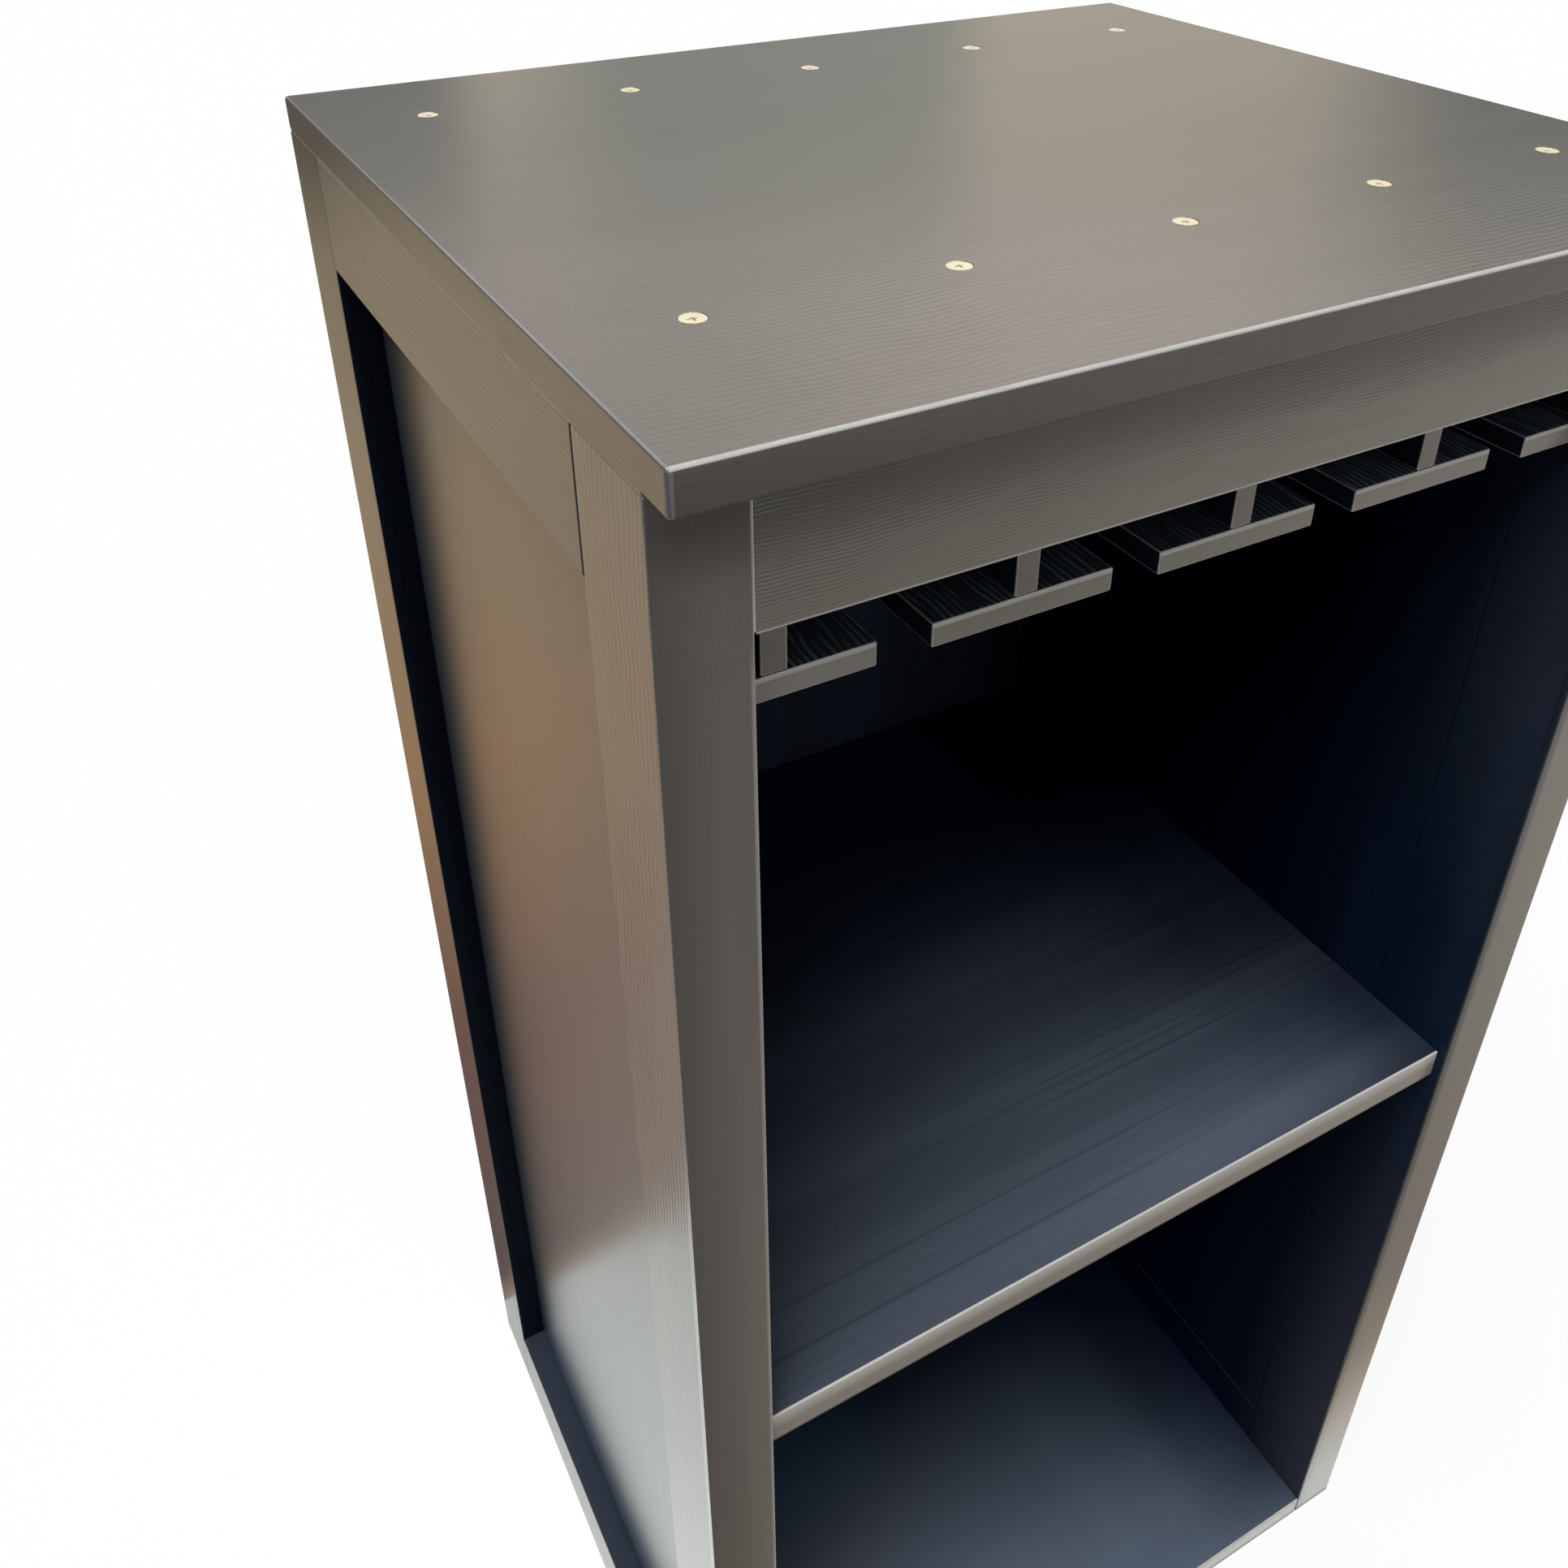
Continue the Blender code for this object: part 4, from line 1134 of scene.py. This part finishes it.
def board_finish(name, direction):
    """One finish with its grain along one axis of the cabinet."""
    finish = FINISHES[name]
    material = bpy.data.materials.new(f"{name} along {direction}")
    material.use_nodes = True
    tree = material.node_tree
    shader = tree.nodes["Principled BSDF"]
    place = add(tree, "ShaderNodeTexCoord").outputs["Object"]
    axes = add(tree, "ShaderNodeSeparateXYZ")
    feed(tree, place, axes.inputs[0])
    chance = add(tree, "ShaderNodeObjectInfo").outputs["Random"]
    shift = calculate(tree, "MULTIPLY", chance, BOARD_SHIFT)
    turned = add(tree, "ShaderNodeMapping")
    turned.inputs["Rotation"].default_value = [math.radians(a) for a in TURN_TO_GRAIN[direction]]
    feed(tree, place, turned.inputs["Vector"])
    feed(tree, shift, turned.inputs["Location"])
    grain = add(tree, "ShaderNodeGroup", node_tree=brushed_grain)
    feed(tree, turned.outputs[0], grain.inputs["Vector"])
    for socket_name in ("Pitch", "Wave", "Breaks"):
        grain.inputs[socket_name].default_value = finish[socket_name.lower()]
    grooves = grain.outputs["Grooves"]
    if finish["brushed"]:
        (axis, start, end), rest = finish["brushed"]
        kept = remap(tree, axes.outputs[axis], start, end, 1.0, rest)
        grooves = calculate(tree, "MULTIPLY", grooves, kept)
    colour = grain_colour(tree, finish, grain, grooves)
    colour = marked_colour(tree, finish, axes, colour)
    colour = arris_colour(tree, finish, turned.outputs[0], axes, colour)
    feed(tree, colour, shader.inputs["Base Color"])
    roughness = remap(tree, grain.outputs["Fibres"], *FIBRE_RANGE, *finish["roughness"])
    feed(tree, roughness, shader.inputs["Roughness"])
    shader.inputs["Specular IOR Level"].default_value = finish["specular"]
    shader.inputs["Coat Weight"].default_value = finish["coat"]
    shader.inputs["Coat Roughness"].default_value = COAT_ROUGHNESS
    bump = add(tree, "ShaderNodeBump", invert=True)
    bump.inputs["Strength"].default_value = 1.0
    bump.inputs["Distance"].default_value = finish["relief"]
    feed(tree, grooves, bump.inputs["Height"])
    feed(tree, bump.outputs[0], shader.inputs["Normal"])
    return material


print("directions of grain:", list(TURN_TO_GRAIN))

# %% Shared finishes
made = {}


def finish_along(name, direction):
    """A finish along an axis, made once and then shared."""
    if (name, direction) not in made:
        made[name, direction] = board_finish(name, direction)
    return made[name, direction]


print("finishes made so far:", len(made))

# %% [markdown]
# ## Dressing the boards
# A board has several finishes: lacquer on the faces and arrises that show outside, stain on the others.
# Painting a mask would do it, but the faces of a solid can simply take another material slot each.
# Each face takes the finish of the listed side it leans to most, and the board's inner finish if it leans to
# none. The solids come as loose triangles, so a Weld joins them and weighted normals round the arrises off.

# %% Boards that run across
FRONT, REAR = Vector((0, -1, 0)), Vector((0, 1, 0))
LEFT, RIGHT = Vector((-1, 0, 0)), Vector((1, 0, 0))
UP, DOWN = Vector((0, 0, 1)), Vector((0, 0, -1))
LEAN = 0.3
WELD_DISTANCE = 0.00001


def soften(board):
    """Joins the triangles of a solid and rounds its eased arrises off."""
    board.data.shade_smooth()
    weld = board.modifiers.new("join triangles", "WELD")
    weld.merge_threshold = WELD_DISTANCE
    rounded = board.modifiers.new("round arrises", "WEIGHTED_NORMAL")
    rounded.keep_sharp = False


def dress(name, inner, *shown):
    """Gives a board its inner finish, and others on the sides that show: (side, finish, direction)."""
    board = nodes[name]
    board.data.materials.clear()
    board.data.materials.append(finish_along(*inner))
    for side, finish_name, direction in shown:
        board.data.materials.append(finish_along(finish_name, direction))
    for face in board.data.polygons:
        leans = [LEAN] + [face.normal.dot(side) for side, finish_name, direction in shown]
        face.material_index = leans.index(max(leans))
    soften(board)


ink_x = ("blue-black stain", "x")
dress(
    "top_panel",
    ink_x,
    (UP, "top lacquer", "x"),
    (FRONT, "slab edge", "x"),
    (REAR, "board lacquer", "x"),
    (LEFT, "slab side", "y"),
    (RIGHT, "slab side", "y"),
)
dress("front_apron", ink_x, (FRONT, "apron lacquer", "x"), (DOWN, "apron lacquer", "x"))
dress("back_panel", ("shaded back stain", "z"), (REAR, "board lacquer", "z"))
dress("shelf", ("slate stain", "x"), (FRONT, "shelf edge", "x"))
dress("floor_panel", ("floor stain", "x"), (FRONT, "edge lacquer", "x"))
print("boards that run across: dressed")

# %% Sides and rack
wall_y, wall_z = ("wall stain", "y"), ("wall stain", "z")
for label, outside in (("left", LEFT), ("right", RIGHT)):
    front_sides = (FRONT, f"{label} post lacquer", "z"), (outside, "side lacquer", "z")
    dress(f"front_post_{label}", wall_z, *front_sides)
    rear_sides = (REAR, "board lacquer", "z"), (outside, "rear lacquer", "z"), (FRONT, "shaded recess stain", "z")
    dress(f"rear_post_{label}", wall_z, *rear_sides)
    dress(f"top_rail_{label}", wall_y, (outside, "rail lacquer", "y"), (DOWN, "shaded recess stain", "y"))
    dress(f"bottom_rail_{label}", wall_y, (outside, "rail lacquer", "y"), (UP, "lit ledge stain", "y"))
    dress(f"side_panel_{label}", wall_z, (outside, "panel lacquer", "z"))
for number in range(1, 6):
    dress(f"rack_web_{number}", ("rack side stain", "y"), (FRONT, "edge lacquer", "x"))
    foot_sides = (UP, "rack stain", "y"), (FRONT, "foot edge", "x")
    dress(f"rack_flange_{number}", ("rack side stain", "y"), *foot_sides)
print("sides and rack dressed, finishes made:", len(made))

# %% [markdown]
# ## Filled joints
# On the real cabinet the top is filled to the frame, and lacquer bridges the joints: along the sides no gap
# shows under the top, and the apron meets the posts in a thin pale line, which the pale filler there paints
# in as a highlight. The solids keep a fitting gap there.
# Moving the solids is out of the question, so a thin strip of filler lies in each of these joints,
# just below the surface.

# %% Filled joints
FILLER_SINK = 0.00025
FILLER_DEPTH = 0.00060
FILLER_REACH = 0.0012
JOINT_REACH = FILLER_REACH / 4
# The filler of the apron's joints is pale, a painted highlight; the top's filler is plain lacquer.
FINISHES["filler"] = {
    **TAUPE,
    **SMOOTH,
    "light": PALE_WEAR_AND_HIGHLIGHT,
    "dark": PALE_WEAR_AND_HIGHLIGHT,
    "groove": (0.50, 0.48, 0.44),
}
BOX_FACES = [(0, 2, 3, 1), (4, 5, 7, 6), (0, 1, 5, 4), (2, 6, 7, 3), (0, 4, 6, 2), (1, 3, 7, 5)]


def filler(name, low, high, material):
    """A strip of filler between two corners."""
    ends = list(zip(low, high))
    points = [(x, y, z) for x in ends[0] for y in ends[1] for z in ends[2]]
    mesh = bpy.data.meshes.new(name)
    mesh.from_pydata(points, [], BOX_FACES)
    mesh.materials.append(material)
    strip = bpy.data.objects.new(name, mesh)
    scene.collection.objects.link(strip)
    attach(strip, "cabinet")


apron_low, apron_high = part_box("front_apron")
under_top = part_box("top_panel")[0].z
for side, label in ((-1, "left"), (1, "right")):
    post_low, post_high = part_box(f"front_post_{label}")
    rear_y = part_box(f"rear_post_{label}")[1].y
    surface = post_low.x if side < 0 else post_high.x
    outer = surface - side * FILLER_SINK
    inner = outer - side * FILLER_DEPTH
    low = (min(outer, inner), post_low.y + FILLER_REACH, under_top - FILLER_REACH)
    high = (max(outer, inner), rear_y - FILLER_REACH, under_top + FILLER_REACH)
    filler(f"top_filler_{label}", low, high, finish_along("board lacquer", "y"))
    joint = post_high.x if side < 0 else post_low.x
    low = (joint - JOINT_REACH, post_low.y + FILLER_SINK, apron_low.z + FILLER_REACH)
    high = (joint + JOINT_REACH, post_low.y + FILLER_SINK + FILLER_DEPTH, apron_high.z)
    filler(f"apron_filler_{label}", low, high, finish_along("filler", "z"))
print("strips of filler: 4")

# %% [markdown]
# ## Turned fasteners
# Screws, shelf pins and dowels are turned parts. The solids carry them with eight or twelve sides, which is
# enough for their holes but looks cut with a knife close by. So the eye gets finer ones in the same places.
# A turned part is a stack of rings. If all rings have their points at the same angles, one function can join
# them. Some angles are added where a cross recess has its corners, so that the recess comes out sharp.

# %% Rings and skins
ROUND_STEPS = 24
RECESS_ARM = 0.0009
RECESS_SPAN = 0.0042
SHARP_ANGLE = 35.0
recess_corner = math.atan2(RECESS_ARM, RECESS_SPAN)
quarter = math.pi / 2
round_angles = [2 * math.pi * k / ROUND_STEPS for k in range(ROUND_STEPS)]
corner_angles = [quarter * k + turn for k in range(4) for turn in (recess_corner, quarter - recess_corner)]
angles = sorted(round_angles + corner_angles)


def ring(height, radius):
    """Points at one height; the radius is a number or depends on the angle."""
    points = []
    for angle in angles:
        reach = radius(angle) if callable(radius) else radius
        points.append(Vector((reach * math.cos(angle), reach * math.sin(angle), height)))
    return points


def skin(name, rings, material):
    """A closed mesh over a stack of rings, with a middle point in the first and in the last."""
    count = len(angles)
    points = [point for one in rings for point in one]
    points += [sum(rings[0], Vector()) / count, sum(rings[-1], Vector()) / count]
    last = (len(rings) - 1) * count
    faces = []
    for k in range(count):
        following = (k + 1) % count
        for row in range(0, last, count):
            faces.append((row + k, row + following, row + count + following, row + count + k))
        faces.append((following, k, last + count))
        faces.append((last + k, last + following, last + count + 1))
    mesh = bpy.data.meshes.new(name)
    mesh.from_pydata(points, [], faces)
    mesh.materials.append(material)
    mesh.shade_smooth()
    mesh.set_sharp_from_angle(angle=math.radians(SHARP_ANGLE))
    return mesh


def stand_in(name, mesh, node, place, turn):
    """Puts a finer piece in the place of a solid, on the same body."""
    piece = bpy.data.objects.new(name, mesh)
    piece.location = place
    piece.rotation_euler = turn
    scene.collection.objects.link(piece)
    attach(piece, "cabinet")
    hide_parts(node)


print("angles in a ring:", len(angles))

# %% [markdown]
# ## Metal finishes
# The screws are zinc plated and passivated to a pale cream, a thin skin that hardly mirrors.
# The pins are plain steel. Both are mottled by handling, so the mottling is a node group.
# The cross recess is darker than the face. A second material could line it, but the depth below the face
# tells where it is, so there the cream turns dark.

# %% Mottling
MOTTLE_RANGE = (0.35, 0.65)


def mottle_group():
    """Soft spots from 0 to 1, with finer ones in them."""
    group, inside, result = new_group(
        "mottle",
        [("Vector", "NodeSocketVector", None), ("Spots per metre", "NodeSocketFloat", 400.0)],
        [("Mottle", "NodeSocketFloat")],
    )
    noise = add(group, "ShaderNodeTexNoise")
    noise.inputs["Detail"].default_value = 4.0
    feed(group, inside["Vector"], noise.inputs["Vector"])
    feed(group, inside["Spots per metre"], noise.inputs["Scale"])
    feed(group, remap(group, noise.outputs["Fac"], *MOTTLE_RANGE), result["Mottle"])
    return group


mottle = mottle_group()
print("group:", mottle.name, [item.name for item in mottle.interface.items_tree])

# %% Metal finishes
RECESS_DARK = (0.24, 0.18, 0.10, 1.0)
DARK_FROM, DARK_TO = -0.0001, -0.0008


def metal_finish(name, light, dark, metallic, smooth, rough, coat, dark_recess=False):
    """Mottled metal; with dark_recess it darkens below the face at height 0."""
    material = bpy.data.materials.new(name)
    material.use_nodes = True
    tree = material.node_tree
    shader = tree.nodes["Principled BSDF"]
    place = add(tree, "ShaderNodeTexCoord").outputs["Object"]
    spots = add(tree, "ShaderNodeGroup", node_tree=mottle)
    feed(tree, place, spots.inputs["Vector"])
    colour = mix_colour(tree, spots.outputs["Mottle"], (*dark, 1.0), (*light, 1.0))
    if dark_recess:
        height = add(tree, "ShaderNodeSeparateXYZ")
        feed(tree, place, height.inputs[0])
        depth = remap(tree, height.outputs["Z"], DARK_FROM, DARK_TO)
        colour = mix_colour(tree, depth, colour, RECESS_DARK)
    feed(tree, colour, shader.inputs["Base Color"])
    roughness = remap(tree, spots.outputs["Mottle"], 0.0, 1.0, rough, smooth)
    feed(tree, roughness, shader.inputs["Roughness"])
    shader.inputs["Metallic"].default_value = metallic
    shader.inputs["Coat Weight"].default_value = coat
    return material


cream_zinc = metal_finish(
    "cream zinc",
    light=(1.00, 0.90, 0.64),
    dark=(0.98, 0.87, 0.60),
    metallic=0.0,
    smooth=0.40,
    rough=0.52,
    coat=0.25,
    dark_recess=True,
)
steel = metal_finish(
    "pin steel",
    light=(0.66, 0.66, 0.67),
    dark=(0.50, 0.50, 0.52),
    metallic=1.0,
    smooth=0.24,
    rough=0.38,
    coat=0.0,
)
print("metal finishes:", cream_zinc.name, steel.name)

# %% [markdown]
# ## Screws
# Ten countersunk screws hold the glass rails from above, ten smaller ones hold the rails' feet from below.
# The head is a cone with a flat face and a tapered cross recess. The shank has a thread: its radius follows a
# saw tooth that climbs once a turn, which gives a helix out of plain rings.
# Each stays inside the solid it stands for, so it also stays inside that solid's hole.

# %% Screw shape
HEAD_RIM = 0.0004
HEAD_CHAMFER = 0.00015
NECK_SHARE = 0.9
RECESS_DEPTH = 0.0016
RECESS_STEPS = ((0.0, 1.0), (0.0001, 0.95), (RECESS_DEPTH, 0.55))
SCREW_POINT = 0.004
POINT_SHARE = 0.25
THREAD_PITCH = 0.0024
THREAD_ROOT = 0.70
THREAD_END = 0.0006
RINGS_A_TURN = 4


def cross_reach(angle):
    """How far the edge of the cross recess lies from the middle, in this direction."""
    along = max(abs(math.cos(angle)), abs(math.sin(angle)))
    aside = min(abs(math.cos(angle)), abs(math.sin(angle)))
    reach = RECESS_SPAN / 2 / along
    return min(reach, RECESS_ARM / 2 / aside) if aside > 0 else reach


def thread_radius(depth, crest, length):
    """The thread's radius at a depth, as a function of the angle; it tapers to the point."""
    taper = min(1.0, POINT_SHARE + (1.0 - POINT_SHARE) * (length - depth) / SCREW_POINT)

    def at(angle):
        climb = (depth / THREAD_PITCH + angle / (2 * math.pi)) % 1.0
        tooth = 1.0 - abs(2.0 * climb - 1.0)
        return crest * taper * (THREAD_ROOT + (1.0 - THREAD_ROOT) * tooth)

    return at


def screw_mesh(name, head, shank, length, plain, recess_share):
    """A countersunk screw: face at height 0, point below; plain is how far down its thread begins."""
    cone = (head - shank) / 2
    neck = shank / 2 * NECK_SHARE
    steps = int((length - plain) / (THREAD_PITCH / RINGS_A_TURN))
    rings = []
    for step in range(steps + 1):
        depth = length - (length - plain) * step / steps
        rings.append(ring(-depth, thread_radius(depth, shank / 2, length)))
    rings.append(ring(-plain + THREAD_END, neck))
    rings.append(ring(-HEAD_RIM - cone, neck))
    rings.append(ring(-HEAD_RIM, head / 2))
    rings.append(ring(-HEAD_CHAMFER, head / 2))
    rings.append(ring(0.0, head / 2 - HEAD_CHAMFER))
    for depth, share in RECESS_STEPS:
        rings.append(ring(-depth, lambda angle: cross_reach(angle) * share * recess_share))
    return skin(name, rings, cream_zinc)


print("thread pitch:", THREAD_PITCH, "recess depth:", RECESS_DEPTH)

# %% Screws
top_screw = screw_mesh("top_screw", head=0.0095, shank=0.0045, length=0.045, plain=0.018, recess_share=1.0)
foot_screw = screw_mesh("foot_screw", head=0.0070, shank=0.0035, length=0.025, plain=0.010, recess_share=0.8)
UPSIDE_DOWN = (math.pi, 0, 0)
for number in range(1, 11):
    node = f"rack_screw_{number}"
    low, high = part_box(node)
    place = ((low.x + high.x) / 2, (low.y + high.y) / 2, high.z)
    stand_in(f"top_screw_{number}", top_screw, node, place, (0, 0, 0))
    node = f"flange_screw_{number}"
    low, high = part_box(node)
    place = ((low.x + high.x) / 2, (low.y + high.y) / 2, low.z)
    stand_in(f"foot_screw_{number}", foot_screw, node, place, UPSIDE_DOWN)
print("screws: 20, points in each:", len(top_screw.vertices), len(foot_screw.vertices))

# %% [markdown]
# ## Shelf pins
# The loose shelf lies on four turned steel pins. Each has a plug in the side panel, a thicker head and a
# crown. A cylinder with a bevel would nearly do, but the shoulder needs a second one.
# So a pin is a stack of rings again. Its solid gives its place, and its head points into the cabinet.

# %% Shelf pins
PIN_PLUG, PIN_HEAD = 0.0025, 0.0035
PIN_SHOULDER, PIN_TIP, PIN_CROWN = 0.0103, 0.0193, 0.001
PLUG_EASE, SHOULDER_EASE, CROWN_SHARE = 0.0004, 0.0002, 0.3
crown_step = CROWN_SHARE * PIN_CROWN
pin_outline = [
    (0.0, PIN_PLUG - PLUG_EASE),
    (PLUG_EASE, PIN_PLUG),
    (PIN_SHOULDER, PIN_PLUG),
    (PIN_SHOULDER, PIN_HEAD - SHOULDER_EASE),
    (PIN_SHOULDER + SHOULDER_EASE, PIN_HEAD),
    (PIN_TIP - PIN_CROWN, PIN_HEAD),
    (PIN_TIP - crown_step, PIN_HEAD - crown_step),
    (PIN_TIP, PIN_HEAD - PIN_CROWN),
]
pin = skin("support_pin", [ring(height, radius) for height, radius in pin_outline], steel)
for side, label in ((-1, "left"), (1, "right")):
    for row in ("front", "rear"):
        node = f"shelf_pin_{row}_{label}"
        low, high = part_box(node)
        start = (low.x if side < 0 else high.x, (low.y + high.y) / 2, (low.z + high.z) / 2)
        turn = (0, -side * math.pi / 2, 0)
        stand_in(f"support_pin_{row}_{label}", pin, node, start, turn)
print("pins: 4, points in each:", len(pin.vertices))

# %% [markdown]
# ## Dowels
# The dowels are beech, fluted so that glue can escape, with rounded ends. They are hidden once the cabinet
# is glued up, but a part that comes apart on a bench shows them.
# Flutes could be cut out one by one. Here the radius of a ring swings with the angle, which cuts them all.

# %% Dowels
FLUTE_COUNT = 12
FLUTE_DEPTH = 0.00025
DOWEL_RADIUS = 0.0039
DOWEL_ROUNDING = 0.0008
FINISHES["beech"] = {
    **TAUPE,
    "light": (0.60, 0.43, 0.27),
    "dark": (0.48, 0.33, 0.20),
    "groove": (0.34, 0.22, 0.13),
    "grooves": 0.2,
    "roughness": (0.50, 0.62),
    "relief": 0.00002,
    "specular": 0.3,
}


def fluted(angle):
    """The radius of a dowel with flutes along it."""
    return DOWEL_RADIUS - FLUTE_DEPTH * (0.5 - 0.5 * math.cos(FLUTE_COUNT * angle))


def dowel_mesh(name, length):
    """A fluted dowel along Z, with its middle at the origin."""
    half = length / 2
    rings = [ring(-half, DOWEL_RADIUS - DOWEL_ROUNDING)]
    rings += [ring(height, fluted) for height in (DOWEL_ROUNDING - half, half - DOWEL_ROUNDING)]
    rings += [ring(half, DOWEL_RADIUS - DOWEL_ROUNDING)]
    return skin(name, rings, finish_along("beech", "z"))


for stem, turn, axis in (("top_dowel", (0, 0, 0), 2), ("floor_dowel", (0, math.pi / 2, 0), 0)):
    low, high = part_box(f"{stem}_1")
    mesh = dowel_mesh(f"fluted_{stem}", (high - low)[axis])
    for number in range(1, 5):
        node = f"{stem}_{number}"
        low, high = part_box(node)
        stand_in(f"fluted_{node}", mesh, node, (low + high) / 2, turn)
print("dowels: 8")
